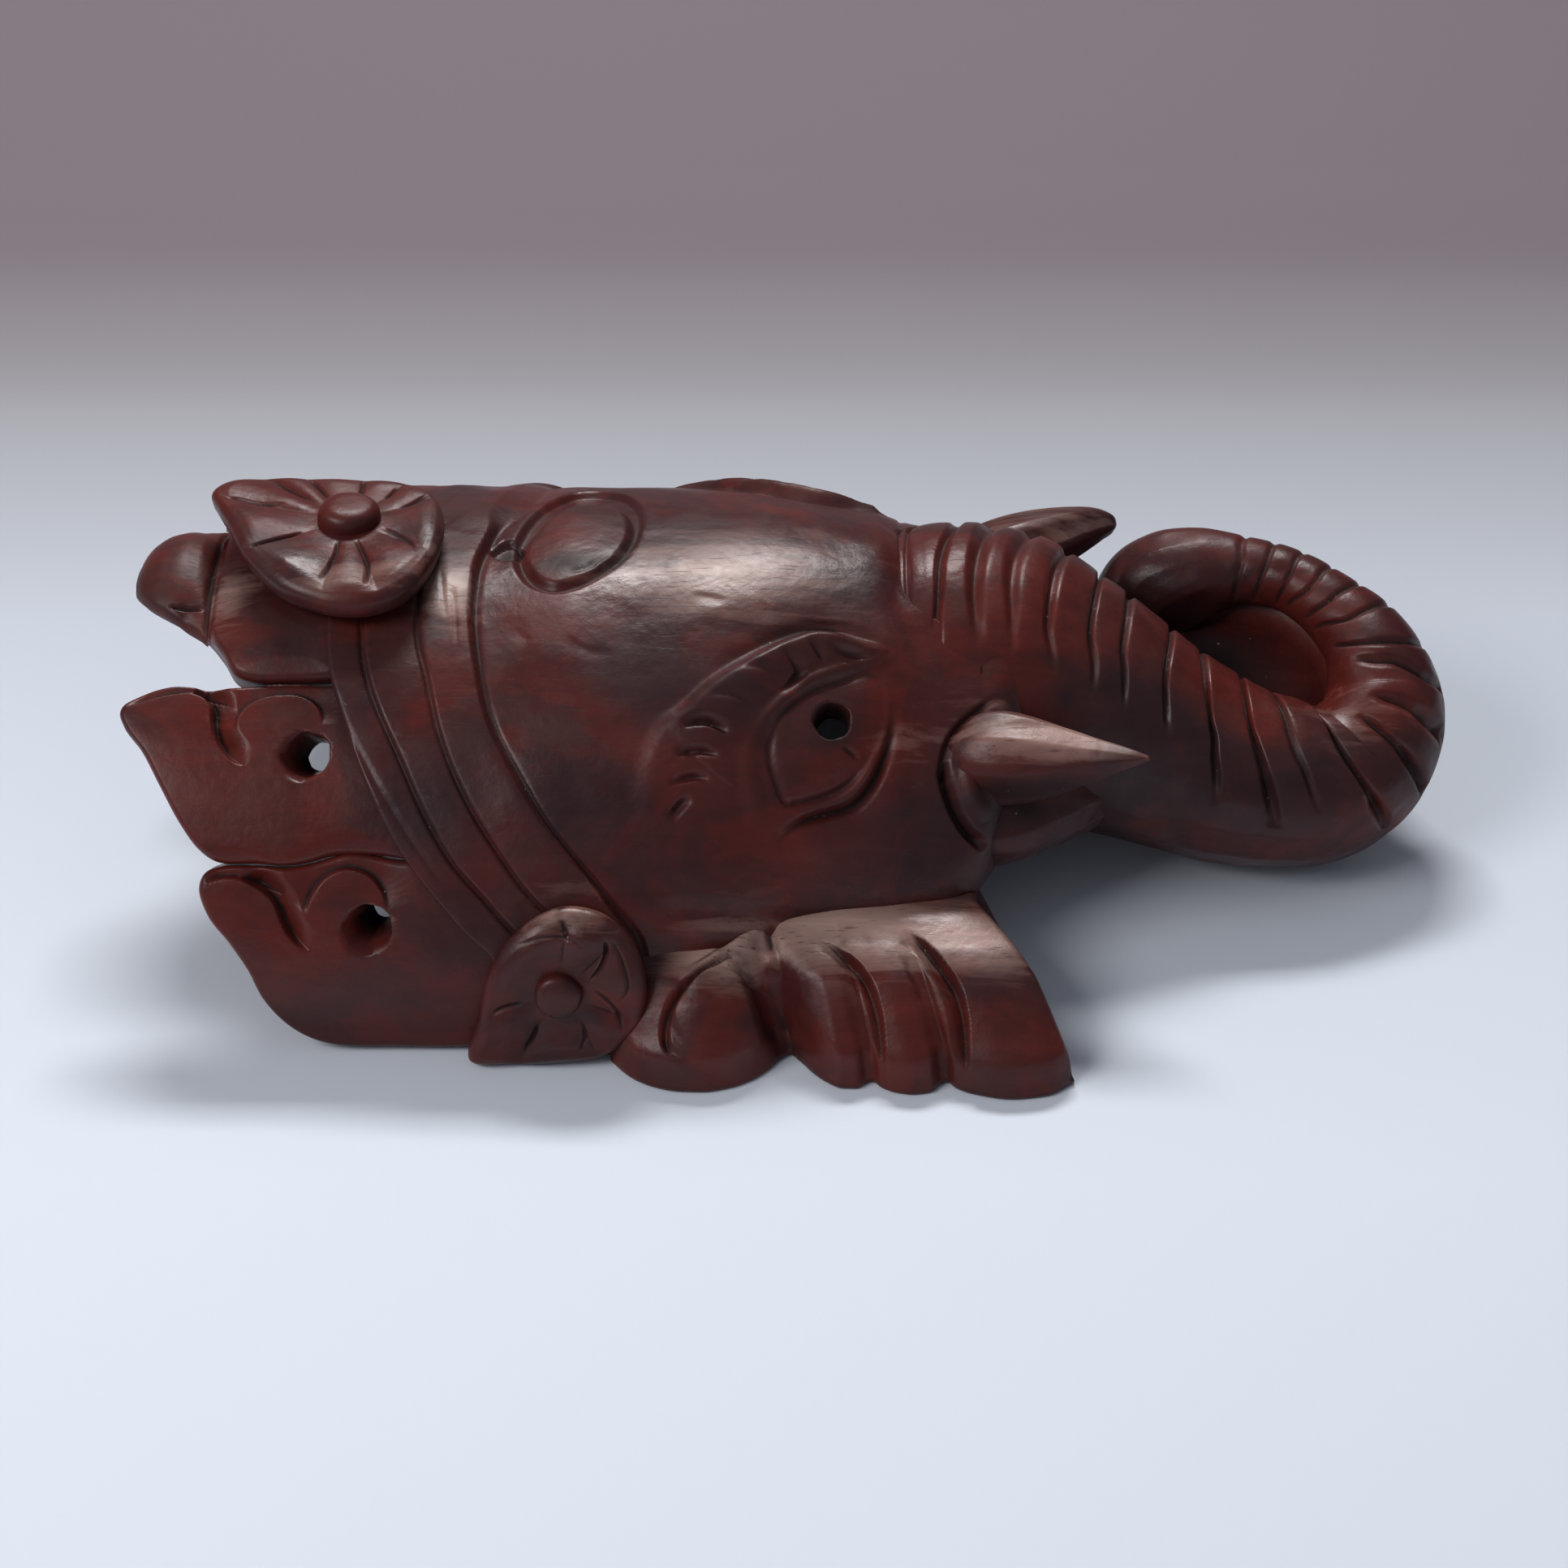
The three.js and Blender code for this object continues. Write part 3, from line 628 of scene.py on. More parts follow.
@dataclass
class Head(Piece):
    """The hollow barrel of the head with its headband, forehead mark, brows, eyes and cheeks."""

    name: str = "head_shell"
    # half width, centre height, rise and roundness of the section at each X
    stations: Rows = (
        (-110, 80, 0, 76.5, 2.0), (-66, 80, 0, 77, 2.0), (-46, 79.5, 0, 79.5, 2.0),
        (-16, 74.5, 6, 74.5, 1.95), (10, 64, 15, 64.5, 1.84), (21, 62, 17.5, 60.5, 1.76),
        (29, 60, 20, 53, 1.72), (36, 58, 23, 45.5, 1.76), (42, 54, 27, 39, 1.85), (47, 46, 34, 31, 2.0),
        (49.5, 37, 37, 23, 2.0),
    )
    band_left: Rows = (
        (0, -99), (22, -98), (38, -92), (53, -83), (67, -69), (74, -61), (95, -58),
    )
    band_right: Rows = (
        (0, -67), (14, -67.5), (33, -64), (50, -53), (64, -38), (72, -31), (95, -28),
    )
    band_lift: float = 2.4
    front_x: float = 49.5
    # X and barrel angle of the pupil, its distance from the barrel's axis, and its radii and depth
    pupil: Span = (10.4, 35.4)
    pupil_reach: float = 74.8
    pupil_radii: Span = (3.978, 3.51)
    pupil_depth: float = 12.0
    rows: int = 330
    columns: int = 500

    def section(self, x: Array, t: Array) -> Array:
        """Point of the plain head at station x and section angle t in degrees.

        Above its centre the section is a superellipse of half width a and rise h, below it the same
        with the drop to a little under the back rim.

        Args:
            x: stations along the barrel.
            t: section angles in degrees.

        Returns:
            Places, with x, y and z along the last axis.
        """
        a, centre, rise = (ladder(self.stations, x, k) for k in (1, 2, 3))
        power = 2.0 / ladder(self.stations, x, 4)
        s, c = np.sin(np.radians(t)), np.cos(np.radians(t))
        drop = centre + 12 - 18 * np.clip((x - 30) / 14, 0, 1)
        z = centre + np.where(c >= 0, rise, -drop) * np.abs(c) ** power
        y = -np.sign(s) * a * np.abs(s) ** power
        return np.stack(np.broadcast_arrays(x, y, z), axis=-1)

    def relief(self) -> Relief:
        """Height of everything carved alike on both halves of the head, over X and the barrel's angle.

        Returns:
            The finished map.
        """
        map_ = Relief((-105, 52), (0, 112), 0.35, ARC)
        self.carve_band(map_)
        self.carve_brow(map_)
        self.carve_eye(map_)
        self.carve_cheek(map_)
        return map_

    def carve_band(self, map_: Relief) -> None:
        """A strap with two folds cut along it, standing proud of the forehead.

        Args:
            map_: the head's map, which is changed.
        """
        right = ladder(self.band_right, map_.v / ARC)[None, :]
        from_edge = right - map_.u[:, None]
        map_.height += self.band_lift * ease(from_edge, -0.5, 0.5)
        map_.height -= 0.5 * np.exp(-((from_edge + 0.9) / 0.7) ** 2)
        map_.height -= 0.45 * np.exp(-np.clip(from_edge, 0, None) / 1.2) * (from_edge > 0)
        fold_a = [(-91, 0), (-90.6, 21), (-89.2, 28.3), (-86.4, 34.6), (-81.5, 42.3), (-75.8, 51.2),
                  (-69.7, 58.6), (-62.9, 64.2), (-57, 69), (-50, 73)]
        fold_b = [(-79, 0), (-78.6, 21.3), (-76.2, 29), (-73.1, 38.6), (-69.7, 45.1), (-65.3, 51.2),
                  (-59.8, 57.2), (-54, 63), (-46, 69)]
        for fold in (fold_a, fold_b):
            map_.groove(fold, 1.0, 0.8, 1.1, ends=(0, 0.1), soft=0.3)
            map_.groove(fold, 0.3, 4.0, 1.0, ends=(0, 0.1))
        crease = [(-95.5, 30), (-93.4, 36), (-88.6, 43), (-83, 50), (-77.5, 56), (-70, 63)]
        map_.groove(crease, 0.25, 0.9, 1.4)
        for fork in ([(-74.5, 8), (-73.6, 14), (-72.6, 19)], [(-71.8, 12), (-70.6, 18.5), (-70, 24)]):
            map_.groove(fork, 0.25, 0.8, 0.8)

    def forehead_mark(self) -> Relief:
        """A tear drop left standing in a groove that is wide on the far side, and a diamond at its point.

        The height falls over a wall inside the groove's outer edge and climbs again to the drop, whose
        top is a low dome.

        Returns:
            A map of its own, over both halves.
        """
        map_ = Relief((-70, 34), (-34, 30), 0.3, ARC)
        pit = [(-59.6, 0.6), (-58.8, -4), (-56.4, -10.4), (-52.2, -17.6), (-47.6, -21.6), (-42.4, -22.2),
               (-37, -19.4), (-33.4, -14.4), (-31.4, -8), (-31.6, -2), (-34, 4.2), (-38.6, 8.8), (-45, 12.2),
               (-49.8, 13), (-54.6, 11.2), (-58, 7)]
        drop = [(-57.4, 0.4), (-55.4, -3.6), (-52, -9.4), (-47.4, -13.2), (-41.6, -14), (-36.8, -11.6),
                (-34.2, -6), (-34, -1), (-35.8, 3.8), (-39.6, 7.6), (-45.4, 10.8), (-50.4, 11.4), (-54.6, 9),
                (-57, 5)]
        window, deep, _ = map_.inside(pit, 2.0)
        map_.height[window] -= 1.9 * ease(deep, -0.5, 1.0)
        window, deep, _ = map_.inside(drop, 2.0)
        dome = 1 - (1 - np.clip(deep / 9, 0, 1)) ** 2
        map_.height[window] += 1.6 * ease(deep, -0.8, 1.4) + 0.4 * dome
        map_.groove(pit[9:] + pit[:1], 0.5, 0.7, 1.0, ends=(0.2, 0.2), soft=0.3)
        map_.field([(-64.6, 1.2), (-60.8, -2.0), (-57.8, 0.6), (-60.6, 4.0)], -1.9, 0.8)
        map_.groove([(-47, 8.8), (-43, 8), (-40.4, 6.4)], 0.35, 0.7, 1.8, ends=(0.3, 0.3))
        map_.groove([(-42.6, 7.6), (-39.6, 5.4), (-37.4, 3.6)], 0.3, 0.7, 1.6, ends=(0.3, 0.3))
        map_.groove([(26.4, -26), (26, -14), (26.2, 0), (26.4, 9)], 0.7, 0.8, 0.8, ends=(0.2, 0.3))
        for place in ([(-47, 22), (-42, 24.5), (-36, 25)], [(-20, 14), (-12, 15.5)], [(-58, 20), (-54, 23)]):
            map_.groove(place, 0.25, 3.0, 1.0, ends=(0.4, 0.4), soft=1.0)
        return map_

    def carve_brow(self, map_: Relief) -> None:
        """A leaf that stands proud along its outer edge and sinks to the lid, with knife cuts on it.

        Args:
            map_: the head's map, which is changed.
        """
        outer = [(21.1, 22.5), (15.7, 21.4), (10.4, 20.3), (6.1, 20.5), (0.7, 22.3), (-5.6, 25.1),
                 (-10.9, 27.8), (-16.1, 30.7), (-21.3, 34.3), (-26.1, 37), (-28.7, 40.6), (-30.2, 45),
                 (-30.6, 50), (-29.7, 54.4), (-27.1, 59), (-23.4, 61.8)]
        inner = [(-18.2, 60.2), (-14.4, 57), (-11.6, 52), (-9.8, 46.5), (-9.2, 42), (-7.6, 38.4), (-4.6, 35),
                 (-1.4, 32), (2.8, 28.9), (8.1, 27), (14.5, 25.2), (19.4, 23.7)]
        window, deep, _ = map_.inside(outer + inner, 3.0)
        rim_window, rim_gap, _, rim_at = map_.near(map_.path(outer), 60.0)
        lid_window, lid_gap, _, _ = map_.near(map_.path(inner), 60.0)
        full_rim, full_lid, full_at = (np.full(map_.height.shape, 99.0) for _ in range(3))
        full_rim[rim_window], full_at[rim_window], full_lid[lid_window] = rim_gap, rim_at, lid_gap
        rim, lid, at = full_rim[window], full_lid[window], full_at[window]
        crests = [(0, 1.6), (0.12, 3.2), (0.35, 3.6), (0.5, 2.6), (0.62, 1.1), (0.75, 0.4), (0.88, 0.2),
                  (1, 0.05)]
        crest = ladder(crests, np.clip(at, 0, 1))
        across = np.clip(lid / np.maximum(rim + lid, 1e-6), 0, 1)
        slope = 0.08 + 0.92 * np.sin(np.clip(across * 1.12, 0, 1) * np.pi / 2) ** 1.1
        wall = 1.5 + 1.0 * ease(at, 0.5, 0.8)
        map_.height[window] += crest * slope * ease(deep / wall, -1.0, 1.2)
        moat = np.exp(-((deep + 1.4) / 1.8) ** 2) * (rim < 6)
        map_.height[window] -= 1.4 * moat * ease(0.46 - at, 0, 0.3) * ease(at, 0.0, 0.15)
        cuts = [
            ([(-21.8, 38), (-19, 37.2), (-16.2, 37.1), (-13.6, 37.8), (-11.7, 38.8)], 2.3, 0.6, 2.4),
            ([(-23.1, 42.3), (-20, 41.6), (-17, 41.6), (-13.8, 42.1)], 1.9, 0.55, 1.9),
            ([(-24.4, 46.5), (-21, 45.8), (-18.8, 45.5), (-15.8, 45.7)], 1.7, 0.55, 1.8),
            ([(-24.5, 52), (-22.8, 50.4), (-20.8, 48.9), (-19.4, 48.4)], 1.8, 1.3, 1.3),
            ([(-11.7, 28.7), (-7.7, 28.1), (-4, 28.5), (-1.5, 30.3)], 0.5, 0.8, 1.8),
            ([(-17.7, 33), (-13.5, 32.6), (-9.3, 32.9), (-6.5, 34.2)], 0.5, 0.8, 2.0),
            ([(-1.6, 24.6), (0.6, 25.9), (2.7, 27.6), (1.6, 29.2), (-1, 31.4)], 1.1, 0.6, 2.6),
            ([(4.6, 22.6), (6.6, 24.2), (8.4, 25.8)], 1.0, 0.6, 2.4),
            ([(8.8, 22.8), (13.4, 23.8), (18.5, 24)], 1.2, 1.2, 1.8),
        ]
        for points, depth, plus, minus in cuts:
            map_.groove(points, depth, 1.2 * plus, minus, ends=(0.45, 0.4), soft=0.2)

    def carve_eye(self, map_: Relief) -> None:
        """Eyeball between a rolled upper lid and a deeply undercut lower lid.

        Args:
            map_: the head's map, which is changed.
        """
        ball = [(17.8, 26.3), (11.4, 28.6), (5, 31), (-0.9, 35), (-3.2, 39.7), (-3, 43.5), (-1.6, 46.6),
                (0.6, 49.6), (4.9, 48.9), (10.2, 47.6), (14.5, 45.4), (18.6, 41.5), (21, 37), (21.9, 32),
                (20.8, 28)]
        map_.field(ball, -0.4, 1.2, dome=1.2, dome_reach=9.0)
        lid = [(24, 23.2), (20, 23.9), (14.6, 25.5), (9.2, 27.3), (4.9, 29), (0.9, 31.6), (-2.7, 34.2),
               (-5.8, 37.4), (-7.6, 41), (-7.4, 45), (-6.4, 49), (-5, 54)]
        map_.groove(lid[:8], -1.2, 2.6, 2.4, ends=(0.2, 0.3), soft=1.0)
        map_.groove(lid[5:], -0.8, 3.4, 3.4, ends=(0.3, 0.4), soft=1.0)
        crease = [(17.5, 27), (11.4, 28.6), (8.2, 29.5), (5, 31), (2.3, 32.7), (-0.9, 35.2), (-3, 37.6)]
        map_.groove(crease, 0.6, 1.3, 1.3, ends=(0.35, 0.3), soft=0.3)
        outer_corner = [(-2, 36.4), (-3.4, 39), (-3.3, 43), (-2, 46), (-0.7, 48.6), (1.2, 50)]
        map_.groove(outer_corner, 0.55, 0.6, 2.2, ends=(0.3, 0.1), soft=0.4)
        lower_line = [(0.6, 49.6), (4.9, 49), (10.2, 47.6), (14.5, 45.4), (16.2, 43)]
        map_.groove(lower_line, 0.9, 0.6, 1.6, ends=(0.1, 0.3), soft=0.3)
        lip = [(2.3, 51.4), (7.1, 49.8), (11.8, 48.4), (15.8, 45.7), (19, 41.8), (21.2, 37.6)]
        map_.groove(lip, -0.7, 1.6, 1.6, ends=(0.3, 0.3), soft=1.0)
        under = [(-2.2, 56.4), (1.8, 53.6), (6, 51.9), (10.3, 51), (14.5, 49.9), (17.2, 47.9), (19.5, 45.2),
                 (21.3, 42), (22.9, 38.6), (23.7, 34.6), (23.2, 31)]
        map_.groove(under, 2.0, 1.7, 2.4, ends=(0.3, 0.4), soft=0.5)
        map_.groove(under, 0.5, 5.0, 1.5, ends=(0.3, 0.3), soft=1.0)
        map_.groove([(9.5, 45.4), (13, 44), (15.5, 42)], 0.35, 1.0, 1.0)
        map_.groove([(12.5, 39.4), (14.4, 40.6), (16, 41.4)], 0.7, 0.9, 1.2)

    def carve_cheek(self, map_: Relief) -> None:
        """The crescent cut behind the tusk, the roll inside it and the seam over the ear.

        Args:
            map_: the head's map, which is changed.
        """
        crescent = [(47.2, 27.6), (42.8, 30), (38.4, 33.2), (35.6, 36.5), (34.2, 40.4), (33.9, 43.6),
                    (34.8, 47), (36.6, 51), (39.4, 54.6), (43, 57.6)]
        map_.groove(crescent[:6], 1.6, 0.9, 1.9, ends=(0.4, 0), soft=0.3)
        map_.groove(crescent[4:], 3.2, 1.2, 2.8, ends=(0.35, 0.15), soft=0.4)
        roll = [(47, 32), (43, 35), (40.4, 39), (39.8, 43.5), (41, 48), (43.6, 52)]
        map_.groove(roll, -1.2, 3.2, 3.2, ends=(0.2, 0.2), soft=1.0)
        map_.groove([(-30, 67.5), (-20, 66.5), (-8, 68), (6, 70.5), (20, 71), (34, 72), (44, 76)], 0.8, 4, 4)

    def blend_into_trunk(self, points: Array, angle: Array) -> Array:
        """How far the cheeks rise to meet the trunk.

        Where the gap g between a point and the trunk's skin is within k, the rise is (k - g)^2 / 4k,
        the height of a smooth union of two surfaces.

        Args:
            points: places on the plain head.
            angle: their angle round the barrel.

        Returns:
            The rise at each point.
        """
        centre, _, _, radius, _ = Trunk(rows=150).frames()
        rise = np.zeros(points.shape[:2])
        rows = points[..., 0].max(axis=1) > 10
        near = points[rows]
        gap = np.full(near.shape[:2], np.inf)
        for spot, size in zip(centre[:40], radius[:40]):
            gap = np.minimum(gap, np.linalg.norm(near - spot, axis=-1) - size)
        reach = 9.0 * ease(np.abs(angle[rows]), 8, 24)
        soft = np.maximum(reach, 1e-6)
        overlap = np.clip(soft - np.maximum(gap, -soft), 0, None)
        rise[rows] = np.where(reach > 0.05, overlap ** 2 / (4 * soft), 0)
        return rise

    def shell(self) -> Skin:
        """The carved outside as a closed skin: rows along X, columns round the section.

        The first rows climb the wall at the band's free edge, whose corner is rounded.

        Returns:
            Vertices and triangles.
        """
        share = np.concatenate([np.zeros(4), np.linspace(0, 1, self.rows)])
        sink = np.concatenate([[-7.0, -4.5, -2.5, -0.8], np.zeros(self.rows)])
        under = np.linspace(99, 150, 14)
        t = np.concatenate([-under[::-1], np.linspace(-98, 98, self.columns), under])
        left = ladder(self.band_left, np.minimum(np.abs(t), 95))
        x = left[None, :] + share[:, None] * (self.front_x - left[None, :])
        points = self.section(x, np.broadcast_to(t, x.shape))
        angle = np.degrees(np.arctan2(-points[..., 1], points[..., 2]))
        # on the far side the band's front edge leans forward and is rubbed down
        lean = 8.0 * ease(-angle, -8, 24) * ease(-x, 40, 58)
        rubbed = 3.5 * ease(-angle, 2, 12) * (1 - ease(-angle, 32, 44)) * ease(-x, 38, 48)
        carved = self.relief()
        shifts = np.linspace(-1, 1, 15)
        height = sum(carved.sample(x - lean + shift * rubbed, np.abs(angle)) for shift in shifts)
        height /= len(shifts)
        height += self.forehead_mark().sample(x, angle) * (np.abs(angle) < 28)
        height += self.blend_into_trunk(points, angle)
        corner = 1.1
        from_edge = np.clip(1 - (x - left[None, :]) / corner, 0, 1)
        height -= corner * (1 - np.sqrt(1 - from_edge ** 2))
        height += 0.30 * WAVES(points, 13.0) + 0.10 * WAVES(points + 40, (9.0, 4.5, 4.5))
        height = np.where(sink[:, None] < 0, height[4] + sink[:, None], height)
        return skin(lay(points, height))

    def cavity(self) -> Skin:
        """The gouged hollow, the section shrunk by the wall, open at the crown's end and downwards.

        Returns:
            Vertices and triangles.
        """
        x = np.concatenate([np.linspace(-175, -100, 6), np.linspace(-96, CAVITY_END_X - 3, 90),
                            CAVITY_END_X - np.array([2.0, 1.0, 0.4, 0.0])])
        tight = np.concatenate([np.ones(96), [0.985, 0.95, 0.9, 0.8]])
        t = np.linspace(-90, 90, 121)
        station = np.clip(x, -110, CAVITY_END_X)[:, None]
        points = self.section(station, np.broadcast_to(t, (len(x), len(t))))
        a, centre = ladder(self.stations, station, 1), ladder(self.stations, station, 2)
        scale = (a - WALL) / a * tight[:, None]
        points = np.stack([
            np.broadcast_to(x[:, None], points.shape[:2]),
            points[..., 1] * scale,
            centre + (points[..., 2] - centre) * scale,
        ], axis=-1)
        radial = unit(points * (0, 1, 1))
        gouge = 0.7 * WAVES(points, (16.0, 9.0, 9.0)) + 0.35 * np.abs(WAVES(points + 15, (11.0, 6.0, 6.0)))
        points = points + radial * gouge[..., None]
        floor = points[:, [-1, 0]].copy()
        floor[..., 2] = -20
        return skin(np.concatenate([points, floor], axis=1))

    def build(self) -> Object:
        """The head as one piece with its hollow and pierced pupils.

        Returns:
            The head's object.
        """
        piece = make_object(self.name, [self.shell()])
        cutters = [make_object("cavity", [self.cavity()]), make_object("floor_cut", [slab()])]
        for side in (1, -1):
            hole = drill(self.pupil, self.pupil_reach, self.pupil_radii, self.pupil_depth, side)
            cutters.append(make_object("pupil", [hole]))
        carve(piece, cutters)
        return piece


def both_ways(half: Rows) -> Rows:
    """An outline from its half with angles of 0 and more, which starts and ends on the middle line."""
    return [*half, *((x, -t) for x, t in half[-2:0:-1])]


@dataclass
class Lobe:
    """One plate of the crown: its outline over X and barrel angle, and a point inside it."""

    name: str
    outline: Rows
    middle: Span
    mirror: bool = True


@dataclass
class Crown(Piece):
    """Plates that stand up behind the headband, with curls, notches and pierced holes."""

    name: str = "crown_plates"
    half_width: float = 81.0
    rise: float = 76.0
    inner_radius: float = 69.0
    # distance of the middle leaf's face from the barrel's axis at each X
    middle_leaf: Rows = (
        (-144, 69), (-142.4, 71.8), (-140, 74.2), (-136.5, 76.1), (-132.5, 76.8), (-129, 76.2),
        (-126.6, 74.8), (-125.2, 73.4), (-124.4, 75.4), (-122.8, 77.4), (-116, 78.4), (-100, 78.5),
        (-50, 77),
    )
    lobes: tuple[Lobe, ...] = (
        Lobe("middle_leaf", both_ways([
            (-143.6, 0), (-143, 5), (-140, 9.5), (-134.5, 13), (-129, 16), (-125.2, 18.6), (-121, 23),
            (-117.5, 27.4), (-113, 28.7), (-104, 28.8), (-96, 28.6), (-84, 28), (-76, 20), (-73, 0),
        ]), (-92, 0), mirror=False),
        Lobe("upper_lobe", [
            (-141.2, 34), (-140, 37), (-136, 41), (-131.6, 47), (-127.4, 52.6), (-123.4, 56.6),
            (-119.3, 58.7), (-111.6, 58.9), (-104, 59.1), (-99.6, 58.6), (-95, 57.7), (-86, 57.6), (-70, 58),
            (-62, 52), (-66, 36), (-74, 29.4), (-90, 29.3), (-98, 29.3), (-104, 29.2), (-112, 29.3),
            (-118, 29.8), (-124.5, 29.6), (-131, 29.4), (-137.6, 31.2),
        ], (-96, 45)),
        Lobe("lower_lobe", [
            (-123.4, 62.6), (-121.6, 67), (-117.6, 71), (-113.8, 75.6), (-111, 80.5), (-107, 84.5),
            (-102, 87.4), (-96, 88.9), (-84, 89.3), (-68, 89.3), (-52, 88), (-48, 76), (-52, 66),
            (-68, 58.8), (-82, 58.2), (-88, 57.4), (-92, 57.2), (-96.4, 58.1), (-100, 58.9), (-104.5, 59.4),
            (-112, 59.2), (-118.6, 59.3), (-122, 60.2),
        ], (-80, 74)),
    )
    around: int = 560
    # the far upper lobe's tip is shorter than the near one's
    far_tip_start: float = -116.0
    far_tip_share: float = 0.58
    # X and angle, distance from the axis, radii at the mouth and inside, depth and slant of each hole
    holes: tuple = (
        ((-100.6, 41.6), 77.5, (4.75, 2.9), 8.6, (2.0, 1.1, 1.0)),
        ((-87.3, 68.4), 79.5, (4.75, 2.7), 10.4, (2.6, 1.3, 1.5)),
    )

    def face(self, x: Array, t: Array) -> Array:
        """Distance of the plain face from the barrel's axis: an ellipse, with the leaf's own profile.

        Args:
            x: places along the barrel.
            t: barrel angles in degrees.

        Returns:
            The distance at each place.
        """
        s, c = np.sin(np.radians(t)), np.cos(np.radians(t))
        side = 1 / np.hypot(s / self.half_width, c / self.rise)
        leaf = ladder(self.middle_leaf, x) + (side - self.rise) - 1.5 * ease(np.abs(t), 16, 29)
        # the tip is an egg that falls away on both sides, and the part behind it has a rounded shoulder
        leaf = leaf - 5.5 * ease(-x, 122.0, 131) * (t / 15) ** 2
        leaf = leaf - 1.6 * ease(-x, 108, 124) * ease(-x, 124.6, 124.0)
        return np.where(np.abs(t) > LEAF_HALF_ANGLE, side, leaf)

    def relief(self) -> Relief:
        """Height of the cuts on one half of the crown, over X and the barrel's angle.

        Returns:
            The finished map.
        """
        map_ = Relief((-148, -48), (0, 92), 0.3, ARC)
        flame = [(-140, 33.6), (-134, 31.8), (-129, 31), (-126.1, 30.9), (-123.4, 31.6), (-121.4, 33.4),
                 (-120.9, 36), (-120.2, 38.4), (-118.8, 40.5), (-116, 42.6), (-113.6, 43.4)]
        map_.groove(flame[:5], 1.7, 0.6, 7.0, ends=(0.3, 0), soft=0.3)
        map_.groove(flame[3:], 3.2, 0.7, 5.0, ends=(0.15, 0.3), soft=0.4)
        curl = [(-116.9, 37.4), (-116.2, 35.3), (-114.3, 33.3), (-111, 31.8), (-107.3, 31.3), (-103.6, 31.3),
                (-100.2, 32.4), (-98, 34.4), (-97.4, 37)]
        map_.groove(curl, 1.7, 0.7, 8.0, ends=(0.15, 0.25), soft=0.2)
        low_flame = [(-122, 61.4), (-118, 60.6), (-114.4, 60.8), (-110.8, 62), (-107.5, 64), (-105.9, 66.6),
                     (-104.9, 68.6), (-102.7, 70.8), (-100, 72)]
        map_.groove(low_flame[:4], 1.5, 0.6, 6.0, ends=(0.3, 0), soft=0.3)
        map_.groove(low_flame[2:], 2.8, 0.7, 4.6, ends=(0.2, 0.3), soft=0.4)
        low_curl = [(-101.2, 66.2), (-99.8, 63.4), (-97, 60.7), (-93.7, 59.4), (-90.1, 59.4), (-86.6, 60.6),
                    (-84.2, 63), (-83.2, 65.8)]
        map_.groove(low_curl, 1.6, 0.7, 7.0, ends=(0.15, 0.25), soft=0.2)
        map_.groove([(-126.4, 12.4), (-130.4, 12.2), (-134, 11.8)], 1.2, 0.7, 0.9)
        step = [(-125.4, 0), (-125.6, 4), (-125.9, 8), (-125.8, 12), (-125.2, 16), (-124.6, 19)]
        map_.groove(step, 0.5, 0.8, 0.8, ends=(0, 0.1), soft=0.5)
        return map_

    def plate(self, lobe: Lobe, map_: Relief, far: bool) -> Skin:
        """One lobe as a closed skin.

        Rings run from the middle of the back to the rim and on to the middle of the face. A point of
        ring s lies at share s of the way from the middle to the outline. Near the rim the face falls
        and the back rises along quarter rounds.

        Args:
            lobe: the plate's outline.
            map_: the crown's cuts.
            far: whether it stands on the far side, where the tip is shorter.

        Returns:
            Vertices and triangles.
        """
        flat = np.asarray(lobe.outline, float) * (1, ARC)
        if far and lobe.name == "upper_lobe":
            flat[:, 0] += (self.far_tip_share - 1) * np.minimum(flat[:, 0] - self.far_tip_start, 0)
        rim = spline(flat, self.around + 1, closed=True)[:-1]
        middle = np.array(lobe.middle) * (1, ARC)
        reach = np.linalg.norm(rim - middle, axis=1)
        outward = 1 - np.linspace(0, 1, 130) ** 1.7
        back = np.linspace(0.02, 0.995, 34)
        share = np.concatenate([back, outward[:-2]])
        front = np.concatenate([np.zeros(len(back), bool), np.ones(len(outward) - 2, bool)])
        spot = middle + share[:, None, None] * (rim - middle)
        x, t = spot[..., 0], spot[..., 1] / ARC
        inset = (1 - share[:, None]) * reach[None, :]
        face = self.face(x, t) + map_.sample(x, np.abs(t))
        round_face, round_back = 1.6, 1.4
        drop = 1 - np.sqrt(1 - np.clip(1 - inset / round_face, 0, 1) ** 2)
        soft = 0.5 * np.exp(-inset / 3.0)
        swell = 1 - np.sqrt(1 - np.clip(1 - inset / round_back, 0, 1) ** 2)
        face = face - round_face * drop - soft
        radius = np.where(front[:, None], face, self.inner_radius + round_back * swell)
        place = np.stack([x, -radius * np.sin(np.radians(t)), radius * np.cos(np.radians(t))], axis=-1)
        bump = np.where(front[:, None], 0.16 * WAVES(place + 9, 11.0), 0.5 * WAVES(place, (14.0, 8.0, 8.0)))
        return skin(place + unit(place * (0, 1, 1)) * bump[..., None])

    def build(self) -> Object:
        """All plates as one piece, drilled and cut level with the back rim.

        Returns:
            The crown's object.
        """
        map_ = self.relief()
        piece = None
        for lobe in self.lobes:
            parts = [self.plate(lobe, map_, far=False)]
            if lobe.mirror:
                parts.append(mirrored(self.plate(lobe, map_, far=True)))
            for k, skin_ in enumerate(parts):
                plate = make_object(f"{lobe.name}_{k}", [skin_])
                cutters = [make_object("floor_cut", [slab()])]
                for place, reach, radii, deep, slant in self.holes if lobe.mirror else []:
                    cutters.append(make_object("hole", [drill(place, reach, radii, deep, 1 - 2 * k, slant)]))
                carve(plate, cutters)
                piece = plate if piece is None else join(piece, plate)
        piece.name = self.name
        return piece


